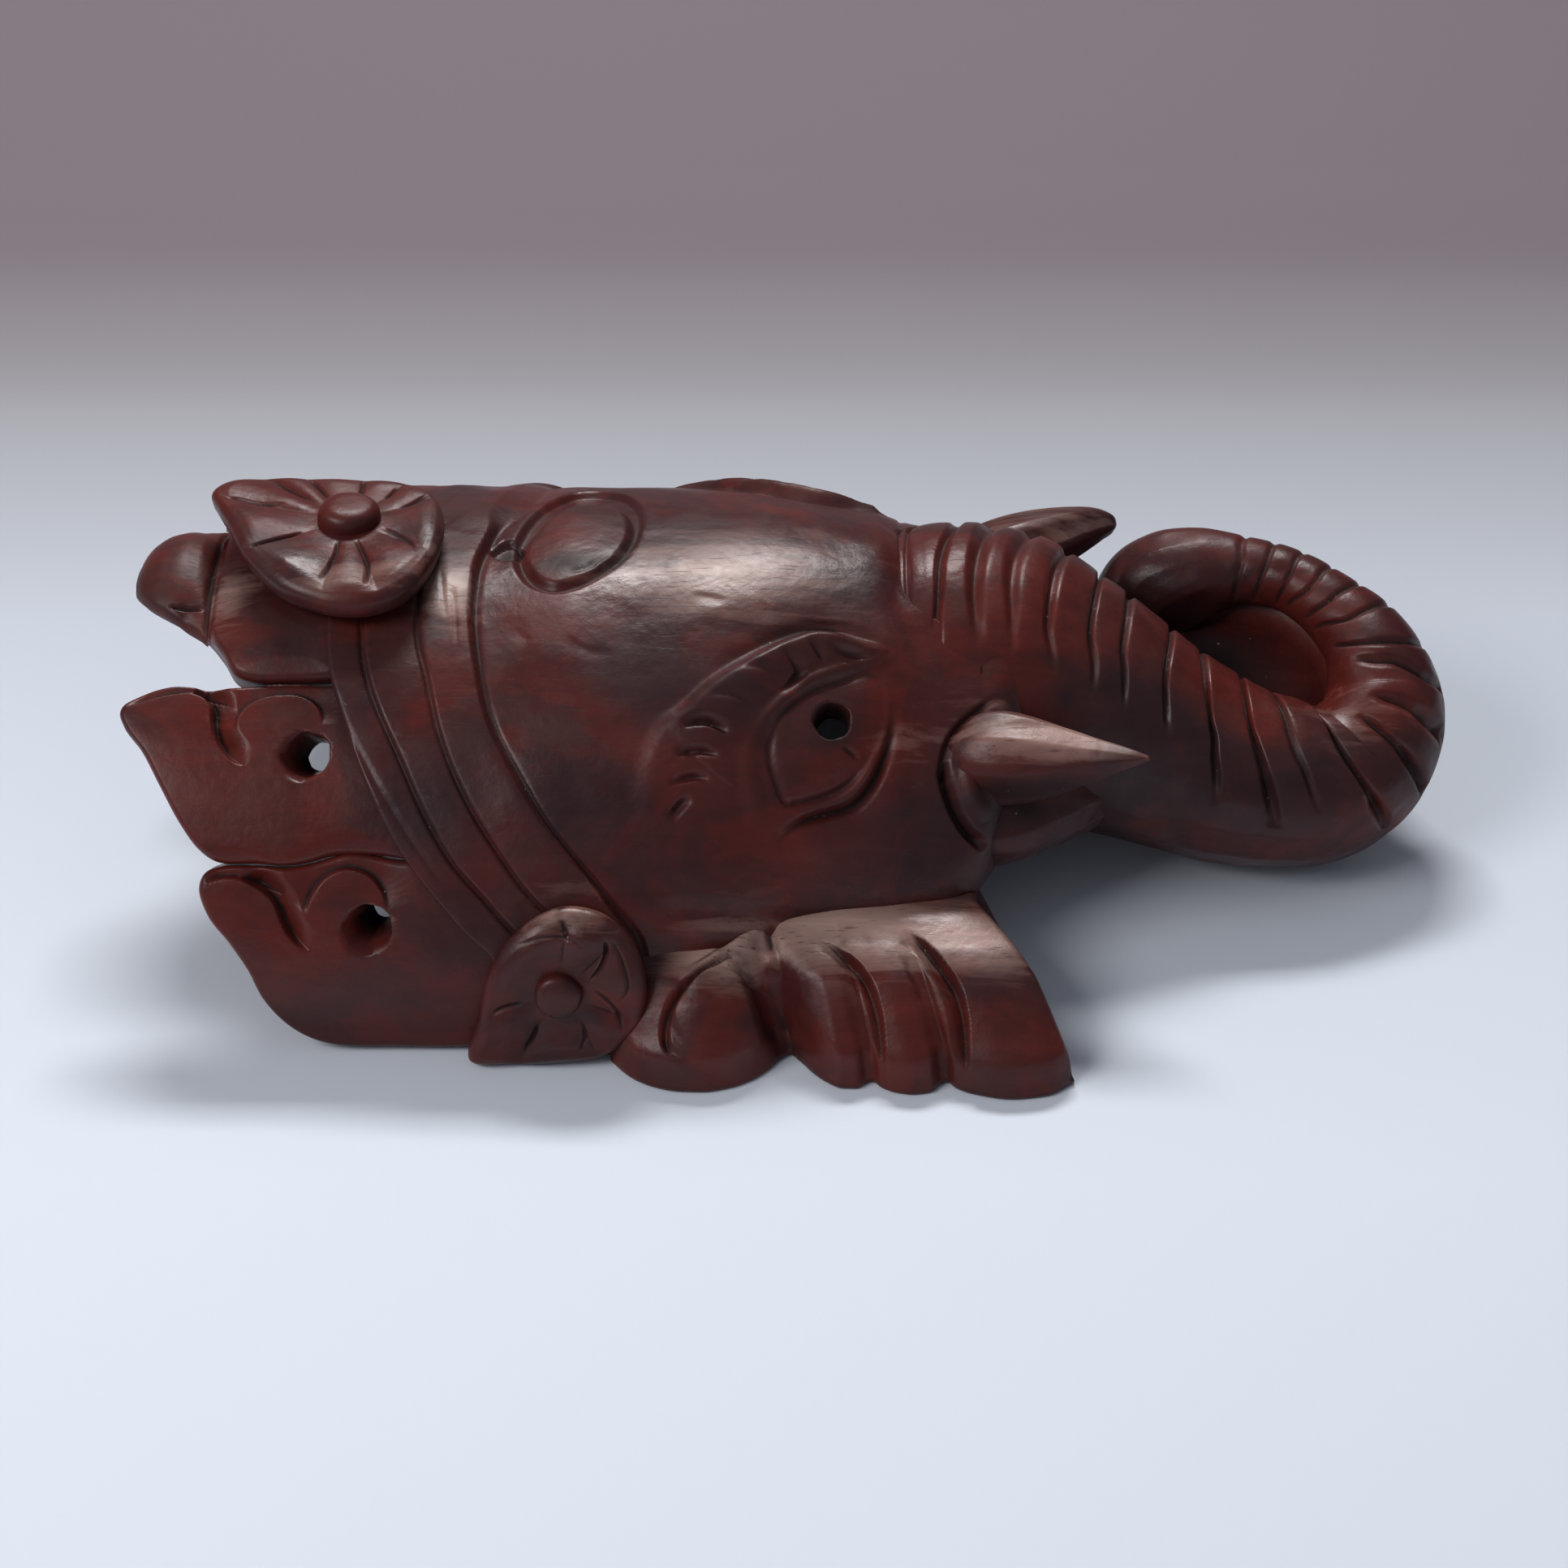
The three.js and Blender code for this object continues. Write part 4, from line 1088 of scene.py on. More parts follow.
@dataclass(frozen=True)
class Rosette:
    """A flower disc with a folded rim, petal veins and a domed boss, in its own frame."""

    outline: Rows
    # places along each vein and its depth, negative for a fold that doesn't part two petals
    veins: Sequence[tuple[Rows, float]]
    # middle, size and height of each soft swell
    swells: Rows
    # the boss's radius, the disc's thickness, the radius it bends to and how far a petal swells
    boss: float
    thick: float
    bend: float
    swell: float
    around: int = 480
    rings: int = 120

    def relief(self) -> Relief:
        """Veins and petals over the disc's own x and y.

        Between two neighbouring veins the petal swells along a parabola of the angle.

        Returns:
            The finished map.
        """
        reach = float(np.abs(np.asarray(self.outline)).max()) + 3
        map_ = Relief((-reach, reach), (-reach, reach), 0.25)
        x, y = map_.u[:, None], map_.v[None, :]
        for cx, cy, size, lift in self.swells:
            map_.height += lift * np.exp(-((x - cx) ** 2 + (y - cy) ** 2) / size ** 2)
        middles = [points[len(points) // 2] for points, depth in self.veins if depth > 0]
        turns = np.sort([math.atan2(p[1], p[0]) for p in middles])
        turns = np.concatenate([turns[-1:] - 2 * np.pi, turns, turns[:1] + 2 * np.pi])
        angle = np.arctan2(y, x)
        after = np.clip(np.searchsorted(turns, angle, side="right"), 1, len(turns) - 1)
        share = (angle - turns[after - 1]) / (turns[after] - turns[after - 1])
        out = np.hypot(x, y)
        petal = 1 - (2 * share - 1) ** 2
        map_.height += self.swell * petal * ease(out, 0.8 * self.boss, 2.6 * self.boss)
        for points, depth in self.veins:
            map_.groove(points, abs(depth) * 0.6, 0.5, 0.8, ends=(0.35, 0.35), soft=0.3)
        return map_

    def disc(self) -> Skin:
        """Rings from the middle of the back over an undercut rim to the middle of the face.

        The face dips a little between boss and rim and bends away on both sides like the barrel.

        Returns:
            Vertices and triangles.
        """
        rim = spline(self.outline, self.around + 1, closed=True)[:-1]
        reach = np.linalg.norm(rim, axis=1)
        inward = 1 - np.linspace(0, 1, self.rings) ** 1.5
        share = np.concatenate([[0.1, 0.45, 0.55, 0.68, 0.82, 0.92, 0.965, 0.99], inward[:-1]])
        level = np.concatenate([[-9, -9, -6, -3.2, -2.4, -1.9, -1.2, 0.4], np.full(self.rings - 1, np.nan)])
        spot = share[:, None, None] * rim
        x, y = spot[..., 0], spot[..., 1]
        inset = (1 - share[:, None]) * reach[None, :]
        corner = 2.0
        drop = corner * (1 - np.sqrt(1 - np.clip(1 - inset / corner, 0, 1) ** 2))
        face = self.thick + self.relief().sample(x, y) * ease(inset, -0.5, 5.0) - drop
        face = face - 0.9 * np.sin(np.clip(share[:, None] * 1.15, 0, 1) * np.pi)
        height = np.where(np.isnan(level)[:, None], face, level[:, None])
        place = np.stack([x, y, height - y ** 2 / (2 * self.bend)], axis=-1)
        place[..., 2] += 0.12 * WAVES(place + 5, 6.0)
        return skin(place)

    def knob(self) -> Skin:
        """The boss: a rubbed-down button whose side stands almost upright and whose top is a flat dome.

        Returns:
            Vertices and triangles.
        """
        angle = np.linspace(0.02, 1, 40) * np.pi / 2
        a = np.linspace(0, 2 * np.pi, 120, endpoint=False)
        radius = self.boss * np.sin(angle) ** 0.5
        height = self.thick - 1.4 + (self.boss * 0.72) * np.cos(angle) ** 0.55
        rings = np.stack([
            radius[:, None] * np.cos(a), radius[:, None] * np.sin(a) * 0.97,
            np.broadcast_to(height[:, None], (40, 120)),
        ], axis=-1)
        foot = rings[-1:] * (0.93, 0.93, 1) - (0, 0, 2.5)
        rings = np.concatenate([rings, foot])
        rings += unit(rings * (1, 1, 0)) * (0.25 * WAVES(rings + 3, 4.0))[..., None]
        return skin(rings)


def stand_on_barrel(part: Skin, x: float, t: float, radius: float) -> Skin:
    """Turns a part built round +Z so that it stands on the barrel at x and angle t.

    Args:
        part: the skin, whose y runs up the barrel, away from the table.
        x: place along the barrel.
        t: barrel angle in degrees.
        radius: distance from the barrel's axis.

    Returns:
        The moved skin.
    """
    verts, faces = part
    return turned(verts + (0, 0, radius), t) + (x, 0, 0), faces


@dataclass
class CentreRosette(Piece):
    """The large rosette on top of the crown."""

    name: str = "centre_rosette"
    limit: int = 110_000
    place: Spot = (-95, -2.5, 82.5)
    flower: Rosette = Rosette(
        outline=[(-32, 13.5), (-30, 7), (-27.2, 1), (-21.5, -12), (-13, -22.5), (-6, -26), (-1, -27.6),
                 (6, -27.8), (13.5, -24.5), (18, -18), (20.6, -8), (20.6, 1), (17.2, 12), (10.4, 17.5),
                 (-2.4, 19.5), (-12, 20), (-22, 19.5), (-29, 18)],
        veins=[
            ([(-29, 8.6), (-25.5, 8.2), (-20, 6.4), (-14.5, 6.2)], 1.2),
            ([(-22.5, -12.4), (-18, -10.4), (-13.6, -7.6), (-9.4, -5)], 2.0),
            ([(-1.4, -8), (-1.4, -13), (-2.4, -18), (-4, -22.4)], 1.3),
            ([(2.4, -8), (4.6, -13), (6, -18), (6, -24.6)], 1.5),
            ([(7.4, -3), (11, -6), (14.2, -9.6), (16.4, -14)], 0.9),
            ([(10, 4.4), (13.6, 6.6), (17, 10.4)], 0.9),
            ([(6.8, 9), (9.4, 13.6)], 1.0),
            ([(-5.6, 9.6), (-8.4, 14), (-10.4, 17.4)], 0.9),
            ([(-9.4, 8.6), (-14.4, 12.8), (-18, 16)], 0.9),
            ([(1, 9.5), (1.4, 14.5), (1, 18)], 0.8),
        ],
        swells=[(-10, -16, 6.5, 0.5), (11, -16, 6, 0.3), (-18, -3, 6, 0.4)],
        boss=6.9, thick=4.2, bend=110, swell=1.05,
    )

    def build(self) -> Object:
        """The disc and its boss, level on the crown."""
        parts = [self.flower.disc(), self.flower.knob()]
        return make_object(self.name, [(verts + self.place, faces) for verts, faces in parts])


@dataclass
class SideRosettes(Piece):
    """The two smaller rosettes at the ends of the headband."""

    name: str = "side_rosettes"
    limit: int = 120_000
    # X, barrel angle and distance from the barrel's axis of the near one
    place: Spot = (-47.5, 77.5, 82.5)
    flower: Rosette = Rosette(
        outline=[(-19.5, -17), (-17, -6), (-14.5, 5), (-8, 14), (1, 18.6), (10, 17), (16.5, 10), (18.6, 1),
                 (16.5, -9), (9.5, -15.5), (-1, -17.5), (-11, -17.8)],
        veins=[
            ([(-14.9, -4.6), (-11.3, -2.8), (-7.4, -2.2)], 1.0),
            ([(-4.4, -6.4), (-5.2, -9.5), (-7.8, -14)], 0.9),
            ([(4.6, -6), (5.4, -10), (4, -14)], 0.9),
            ([(7.2, 1.6), (10.1, -0.8), (12.7, -4.8), (13.4, -8.6)], 1.0),
            ([(6.4, 3), (9, 6.6), (10.2, 10), (10, 13.6)], 1.5),
            ([(11.2, 13.4), (14, 7.6), (14.8, 2.2), (12.6, -1.8)], -0.9),
            ([(0.7, 17.6), (1.8, 15), (2.6, 12)], 1.1),
            ([(-11.5, 9.6), (-8, 12), (-2, 13.8), (3.4, 13), (7.6, 10)], -0.6),
        ],
        swells=[(-5, 12.5, 5.5, 0.9), (4, 13, 4.5, 0.9), (12.5, 4, 4, 0.5)],
        boss=5.1, thick=3.6, bend=90, swell=1.3, around=380, rings=95,
    )

    def build(self) -> Object:
        """The near flower stood on the barrel, and its mirror image."""
        near = [stand_on_barrel(part, *self.place) for part in (self.flower.disc(), self.flower.knob())]
        return make_object(self.name, near + [mirrored(part) for part in near])


@dataclass
class Ears(Piece):
    """Flat flanges, each carved as a fan of three leaves behind an oval ornament."""

    name: str = "ears"
    limit: int = 150_000
    left_x: float = -37.0
    right_x: Span = (42.0, 61.5)
    # reach and height of the plain section from the head outwards
    section: Rows = (
        (46, 22), (59, 24.5), (72, 22.8), (79.5, 20), (85, 15.2), (89, 11.2), (91.2, 9), (92, 7.9),
        (92.6, 6), (93.2, 3.6), (94, 1.2),
    )
    # share of the flange's length and share of its reach
    rim: Rows = (
        (0, 0.87), (0.03, 0.92), (0.06, 0.955), (0.1, 0.982), (0.15, 0.998), (0.2, 1.0), (0.26, 0.982),
        (0.3, 0.955), (0.34, 0.91), (0.37, 0.862), (0.39, 0.845), (0.41, 0.872), (0.44, 0.925),
        (0.47, 0.963), (0.5, 0.984), (0.53, 0.985), (0.555, 0.962), (0.567, 0.958), (0.585, 0.982),
        (0.61, 1.0), (0.65, 1.01), (0.69, 1.0), (0.715, 0.966), (0.727, 0.96), (0.745, 0.985), (0.78, 1.008),
        (0.86, 1.03), (0.94, 1.015), (1, 0.96),
    )
    rows: int = 300
    columns: int = 150

    def relief(self) -> Relief:
        """Cuts and swells over X and the reach from the middle line.

        Returns:
            The finished map.
        """
        map_ = Relief((-42, 68), (44, 104), 0.28)
        x, y = map_.u[:, None], map_.v[None, :]
        for cx, cy, sx, sy, lift in (
            (10, 84, 5.5, 9, 0.9), (28, 85, 6.5, 9, 0.9), (50, 80, 11, 13, 0.4), (-18, 70, 6, 6, -0.6),
            (-31, 86, 7, 8, -1.0), (15, 64, 30, 5, 0.5),
        ):
            map_.height += lift * np.exp(-((x - cx) / sx) ** 2 - ((y - cy) / sy) ** 2)
        # the gap between the ornament and the fan sinks from a crest that runs down and to the right
        crest = ladder([(60, -4.4), (70, -3.4), (73.5, -2.6), (76.5, 0.6), (79.5, 2.8), (84, 5.8), (88, 8.8),
                        (92, 12.6), (98, 16)], y)
        away = crest - x
        sink = ladder([(60, 0), (68, 0.3), (73, 1.6), (78, 4.6), (84, 6.6), (90, 6.2), (98, 4)], y)
        fall = ease(away, -0.5, 2.6) * (1 - ease(away, 5.5, 13.0))
        map_.height -= sink * fall
        gap = [(7.6, 70.6), (11.4, 72.8), (15.4, 76.2), (18.4, 81), (20.2, 86), (20.8, 91), (21.4, 98)]
        map_.groove(gap, 3.2, 3.0, 0.6, ends=(0.35, 0), soft=0.3)
        gap = [(25.6, 68), (29.6, 71.2), (33.4, 76.2), (36.8, 82), (38.2, 86.6), (38.4, 91), (38.8, 98)]
        map_.groove(gap, 3.6, 3.6, 0.6, ends=(0.3, 0), soft=0.3)
        map_.groove([(25.4, 74.5), (27.2, 79), (29.6, 83)], 0.5, 1.2, 1.2)
        oval = [(-23.6, 85), (-20.4, 81), (-14.6, 78.4), (-8.6, 78), (-4.8, 80.6), (-5, 85.4), (-9.4, 89.4),
                (-15, 91), (-20.8, 89.8)]
        map_.field(oval, 0.7, 1.6, dome=1.9, dome_reach=7.5)
        slit = [(-9.6, 73.6), (-13.2, 76.2), (-17.4, 78.8), (-21.6, 81.8), (-24.6, 85.6), (-24.6, 89.4),
                (-21.6, 91.8)]
        map_.groove(slit, 2.3, 1.3, 0.9, ends=(0.3, 0.2), soft=0.3)
        map_.groove([(-23.4, 90.8), (-19, 92.4), (-13, 92.2), (-8, 90.6)], 1.3, 1.4, 0.8, ends=(0.25, 0.3))
        ridge = [(-4.6, 66), (-8, 69.4), (-12.4, 74), (-16.6, 77.6), (-22, 80.4)]
        map_.groove(ridge, -2.1, 2.4, 5.0, ends=(0.15, 0.35), soft=1.0)
        map_.groove([(-3.6, 64), (-3.2, 68), (-2.8, 72.5)], 1.0, 1.2, 2.4, ends=(0.15, 0.4))
        return map_

    def flanges(self) -> list[Skin]:
        """Rows along the flange's length, each a loop over the top, round the rim and back below.

        Returns:
            The near skin and its mirror image.
        """
        p = np.linspace(0, 1, self.rows)[:, None]
        q = np.linspace(0, 1, self.columns) ** 0.85
        plain = 46 + 48 * q[None, :]
        lean = np.clip((plain - 59) / 35, 0, 1)
        right = self.right_x[0] + (self.right_x[1] - self.right_x[0]) * lean
        x = self.left_x + (right - self.left_x) * p
        rim = ladder(self.rim, p)
        reach = np.where(plain <= 59, plain, 59 + (plain - 59) * (1 + (rim - 1) * 2.2))
        top = ladder(self.section, plain)
        side_inset = np.minimum(x - self.left_x, right - x)
        corner = 1.8
        top = top - corner * 1.3 * (1 - np.sqrt(1 - np.clip(1 - side_inset / corner, 0, 1) ** 2))
        height = self.relief().sample(x, reach)
        fade = ease(94 - plain, 0.0, 6.0) * 0.55 + 0.45 * ease(94 - plain, 0, 2.0)
        place = np.stack([x, -reach, top], axis=-1)
        height = height * fade + 0.15 * WAVES(place + 21, 9.0) * fade
        # leaves fall steeply to a crest that stays a little above the table
        place[..., 2] = np.maximum(top + height, 1.2)
        edge = place[:, -1:].copy()
        edge[..., 2] = 0.45
        edge[..., 1] += 0.25
        below = place[:, [-1, -30, 0]].copy()
        below[..., 2] = 0.0
        below[:, 0, 1] += 0.9
        part = skin(np.concatenate([place, edge, below], axis=1))
        return [part, mirrored(part)]

    def build(self) -> Object:
        """Both ears, cut back to the wall of the hollow.

        Returns:
            The ears' object.
        """
        piece = None
        for k, part in enumerate(self.flanges()):
            ear = make_object(f"ear_{k}", [part])
            carve(ear, [make_object("cavity", [Head().cavity()])])
            piece = ear if piece is None else join(piece, ear)
        piece.name = self.name
        return piece


@dataclass
class Sweep:
    """A bar carried along a smooth centre line: rows of x, y, z, radius."""

    line: Rows
    rows: int
    columns: int
    upward: Spot = (0.0, -0.45, 0.9)

    def frames(self) -> tuple[Array, Array, Array, Array, float]:
        """Places and directions along the smooth line.

        The upper direction is the part of upward that is square to the line, and the side direction
        is square to both.

        Returns:
            Centres, upper directions, side directions, radii, and the length of the line.
        """
        path = spline(self.line, self.rows, space=3)
        along = unit(np.gradient(path[:, :3], axis=0))
        upward = np.array(self.upward)
        up = unit(upward - (along @ upward)[:, None] * along)
        side = np.cross(along, up)
        length = np.linalg.norm(np.diff(path[:, :3], axis=0), axis=1).sum()
        return path[:, :3], up, side, path[:, 3], length

    def bar(self) -> Skin:
        """A plain round bar with a little unevenness.

        Returns:
            Vertices and triangles.
        """
        centre, up, side, radius, _ = self.frames()
        angle = np.linspace(0, 2 * np.pi, self.columns, endpoint=False)[None, :, None]
        out = np.cos(angle) * up[:, None, :] + np.sin(angle) * side[:, None, :]
        place = centre[:, None, :] + out * radius[:, None, None]
        return skin(place + out * (0.2 * WAVES(place + 17, 7.0))[..., None])


@dataclass
class Trunk(Sweep, Piece):
    """The ringed trunk: down the front, out to one side, up and back into a bulb."""

    name: str = "trunk"
    line: Rows = (
        (20, 0, 44, 29), (30, 0, 44, 33), (46, 0, 43.6, 33.6), (61, -2.6, 39, 29.8), (72, -5, 34.4, 27.2),
        (81, -6.9, 30.6, 24.8), (90.5, -8.6, 26.8, 23), (100, -11.1, 24, 21.6), (111, -12.8, 22.3, 20.1),
        (121, -11.8, 21, 18.8), (130, -7.5, 22.8, 17.4), (136.4, -1, 29.6, 14.8), (137.6, 5, 34, 13.5),
        (136.4, 10, 38.8, 11.8), (133.4, 16, 43, 10), (125, 25, 47.4, 7.9), (117.5, 31, 49.2, 7.5),
        (107.6, 35, 49.2, 8.2), (100.4, 37.5, 47.2, 10.6), (92.6, 39, 43.8, 12.5), (87.6, 39.5, 40.4, 12.6),
        (84.6, 39.5, 35.2, 11.6), (83.4, 39, 29.6, 8.5),
    )
    rows: int = 640
    columns: int = 330
    # millimetres that a degree round the trunk counts in its map of cuts
    arc: float = 0.40
    # flat knife cuts: angle, share of the radius kept, and the first and last place along the line
    facets: Rows = (
        (82, 0.955, 74, 120), (104, 0.935, 52, 130), (138, 0.9, 46, 134), (58, 0.975, 58, 78),
        (-78, 0.9, 186, 222), (-28, 0.975, 188, 222), (24, 0.97, 190, 222), (-130, 0.9, 186, 222),
    )
    # each cut: depth, half width, then places along the line in millimetres and angles round it
    cuts: tuple[tuple[float, float, Rows], ...] = (
        (0.8, 0.7, [(8.5, -70), (7, -26), (7, 0), (7.3, 10)]),
        (1.4, 1.1, [(19.8, -75), (18, -43), (16.2, -31), (14.6, -17), (14, -6), (13.6, 2), (13.1, 9),
                    (13, 24)]),
        (1.7, 1.5, [(25.6, -80), (23.2, -51), (21.9, -31), (21, -17), (20.6, -6), (20.6, 3), (21, 12),
                    (21.6, 20)]),
        (1.4, 1.1, [(29.6, -85), (27.6, -51), (26.3, -31), (25.8, -18), (25.8, -7), (26.3, 3), (26.8, 11),
                    (27.7, 20)]),
        (1.4, 1.1, [(35, -85), (32.4, -44), (31.5, -27), (31.5, -14), (32, -4), (32.8, 5), (34.8, 12),
                    (37.4, 20)]),
        (1.4, 1.0, [(43, -90), (40.3, -44), (39.9, -28), (40.3, -14), (41.2, -4), (42.9, 4), (44.4, 11),
                    (46, 22)]),
        (1.4, 1.0, [(49, -90), (46.9, -47), (46.8, -32), (47.3, -18), (48.2, -6), (50.2, 3), (52.1, 12),
                    (54, 22)]),
        (1.4, 1.0, [(60.5, -95), (59.1, -56), (58.8, -41), (58.8, -22), (59.6, -8), (61.3, 3), (63.1, 12),
                    (65.4, 24)]),
        (1.5, 1.2, [(69, -90), (68.2, -49), (68.4, -34), (69.6, -19), (71.6, -7), (75, 4), (77.8, 11),
                    (79.8, 21), (81.9, 32), (83.4, 50)]),
        (1.7, 1.2, [(79.5, -90), (80.1, -55), (81.2, -39), (83.4, -21), (85.9, -7), (88.6, 5), (90.7, 17),
                    (92.4, 29), (93.7, 41), (95, 57)]),
        (1.3, 0.9, [(90.5, -85), (92, -52), (93.2, -37), (94.4, -21), (95.4, -6), (96.5, 7), (98, 19),
                    (99.4, 31), (101.3, 46)]),
        (1.6, 1.0, [(99, -80), (102.3, -50), (104.8, -30), (106, -15), (106.9, -3), (107.5, 8), (108.5, 20),
                    (109.6, 32), (110.9, 47), (112.1, 66), (112.8, 82)]),
        (1.6, 1.3, [(125, -18), (124.4, -2), (123.9, 11), (123.1, 27), (122.2, 46), (121, 73), (120.6, 90)]),
        (1.6, 1.3, [(129.8, -20), (129.6, -4), (129.5, 10), (129.2, 23), (129.1, 39), (128.8, 60),
                    (129, 88)]),
        (1.5, 1.2, [(143.4, -45), (141.7, -17), (140.6, 4), (138.6, 22), (136.5, 42), (135.4, 85)]),
        (1.3, 1.0, [(151, -70), (147.5, -42), (145.4, -16), (144.2, 8), (143.5, 30), (143.2, 85)]),
        (1.2, 1.0, [(159, -85), (157.2, -59), (153.4, -27), (152.4, 0), (152, 35), (152, 90)]),
        (1.2, 1.0, [(162.6, -85), (161.2, -53), (159.8, -28), (159.4, -4), (159, 22), (159, 95)]),
        (1.2, 1.0, [(168.6, -90), (167.6, -66), (165.6, -36), (165.2, -8), (165.8, 18), (166, 100)]),
        (1.1, 0.9, [(172.3, -95), (171.6, -60), (171.3, -20), (172, 12), (172.4, 100)]),
        (1.2, 1.0, [(179.2, -95), (178.6, -50), (177.9, -15), (177.9, 15), (178.4, 100)]),
        (1.2, 1.0, [(184.7, -100), (183.6, -45), (183.1, -15), (183.7, 12), (184.4, 100)]),
    )
    # the same cuts are opened wider on the curl's outside: places, depth and the widths of both walls
    wide_cuts: tuple[tuple[Rows, float, float, float], ...] = (
        ([(109.8, 40), (111.3, 60), (112.8, 84)], 1.5, 1.7, 2.0),
        ([(123.6, 26), (122, 50), (120.9, 84)], 1.2, 1.9, 1.9),
        ([(129.2, 24), (129, 44), (128.8, 76)], 1.2, 1.8, 1.8),
        ([(138, 34), (136.2, 54), (135.4, 80)], 0.9, 1.4, 1.7),
        ([(91.6, 24), (93.2, 38), (95, 58)], 0.8, 1.6, 1.4),
    )
    # the sunk wood: half sizes, tilt and middle of the lens, and the line of the wall behind it
    lens_size: Spot = (27, 19, 7)
    lens_tilt: float = 27
    lens_centre: Spot = (110, 22, 26.5)
    wall: Rows = (
        (135, 12, 28, 9), (131, 23, 33.5, 8.5), (120, 35, 37, 8.5), (106, 40, 37, 8.5), (92, 41, 33, 8),
    )
    # height of the stain's edge along the near side: X, Z
    stain_line: Rows = (
        (50, 59), (62, 57.5), (75, 53.8), (85, 50.3), (93, 45), (107, 40.6), (123, 36.5), (134, 32),
    )

    def relief(self, length: float) -> Relief:
        """Cuts and pillows over the length and the angle.

        Args:
            length: length of the centre line.

        Returns:
            The finished map.
        """
        map_ = Relief((0, length + 1), (-180, 180), 0.3, self.arc)
        for depth, half, cut in self.cuts:
            map_.groove(cut, 1.15 * depth, half, half * 1.15, ends=(0.2, 0.22), soft=0.35)
            map_.groove(cut, 0.18, 3.2, 2.8, ends=(0.12, 0.12), soft=1.0)
        for cut, depth, plus, minus in self.wide_cuts:
            map_.groove(cut, depth, plus, minus, ends=(0.35, 0.12), soft=0.5)
        return map_

    def body(self) -> Skin:
        """The tube, with the rings cut in it and a plain knife facet along its lower near edge.

        A facet at angle f keeps the surface under r * c / cos(angle - f), which is a flat cut.

        Returns:
            Vertices and triangles.
        """
        centre, up, side, radius, length = self.frames()
        run = np.linspace(0, length, self.rows)[:, None]
        angle = np.linspace(-180, 180, self.columns, endpoint=False)
        height = self.relief(length).sample(*np.broadcast_arrays(run, angle))
        across = np.radians(angle)[None, :]
        tube = radius[:, None] + height * np.clip(radius[:, None] / 16, 0.45, 1.0)
        for facet, keep, first, last in self.facets:
            gap = np.cos(across - math.radians(facet))
            flat = radius[:, None] * keep / np.maximum(gap, 0.2)
            share = ease(run, first, first + 8) * ease(last - run, 0, 8)
            tube = tube + share * (np.minimum(tube, flat) - tube)
        out = np.cos(across)[..., None] * up[:, None, :] + np.sin(across)[..., None] * side[:, None, :]
        place = centre[:, None, :] + out * tube[..., None]
        bump = 0.22 * WAVES(place + 30, 9.0) + 0.1 * WAVES(place + 60, 4.5)
        return skin(place + out * bump[..., None])

    def recess(self) -> list[Skin]:
        """The sunk wood inside the curl: a tilted lens and the wall behind it.

        Returns:
            Both skins.
        """
        around = np.linspace(0, 2 * np.pi, 120, endpoint=False)
        a, b = np.meshgrid(np.linspace(0.02, np.pi - 0.02, 60), around, indexing="ij")
        lens = np.stack([np.sin(a) * np.cos(b), np.sin(a) * np.sin(b), np.cos(a)], axis=-1) * self.lens_size
        lens[..., 2] += 0.5 * WAVES(lens + 11, (9.0, 5.0, 5.0))
        return [skin(turned(lens, self.lens_tilt) + self.lens_centre), Sweep(self.wall, 90, 60).bar()]

    def build(self) -> Object:
        """The trunk, cut level with the back rim, and the wood inside its curl.

        Returns:
            The trunk's object.
        """
        piece = make_object(self.name, [self.body()])
        carve(piece, [make_object("floor_cut", [slab()])])
        return join(piece, make_object("recess", self.recess()))

    def stain(self, place: Array) -> Array:
        """Dark stain that ends upwards in a slightly wavy line along the near side.

        Args:
            place: the vertices.

        Returns:
            Its share at each vertex, most at the line and less towards the table.
        """
        x, y, z = place.T
        deep = ladder(self.stain_line, x) + 0.8 * WAVES(place + 13, 6.0) - z
        side = ease(x, 54, 64) * ease(-x, -134, -122) * ease(-y, 6, 12)
        return 0.6 * ease(deep, -0.8, 1.2) * (1 - 0.6 * ease(deep, 8, 26)) * side


@dataclass
class Tusk(Sweep):
    """A short horn cut with a few long facets, its base a rounded plug in the cheek."""

    rows: int = 150
    columns: int = 120
    upward: Spot = (0.0, 0.15, 1.0)
    # angle of each facet and the share of the radius that it keeps
    facets: Rows = (
        (18, 0.93), (58, 0.97), (112, 0.9), (160, 0.94), (-40, 0.94), (-100, 0.93),
    )

    def faceted(self) -> Skin:
        """The horn: a facet at angle f keeps the surface under r * c / cos(angle - f).

        Returns:
            Vertices and triangles.
        """
        centre, up, side, radius, _ = self.frames()
        angle = np.linspace(-np.pi, np.pi, self.columns, endpoint=False)[None, :]
        size = np.broadcast_to(radius[:, None], (self.rows, self.columns)).copy()
        for facet, keep in self.facets:
            gap = np.maximum(np.cos(angle - math.radians(facet)), 0.2)
            size = np.minimum(size, radius[:, None] * keep / gap)
        out = np.cos(angle)[..., None] * up[:, None, :] + 0.94 * np.sin(angle)[..., None] * side[:, None, :]
        place = centre[:, None, :] + out * size[..., None]
        place = place + out * (0.22 * WAVES(place + 50, (9.0, 3.0, 3.0)))[..., None]
        return skin(place)


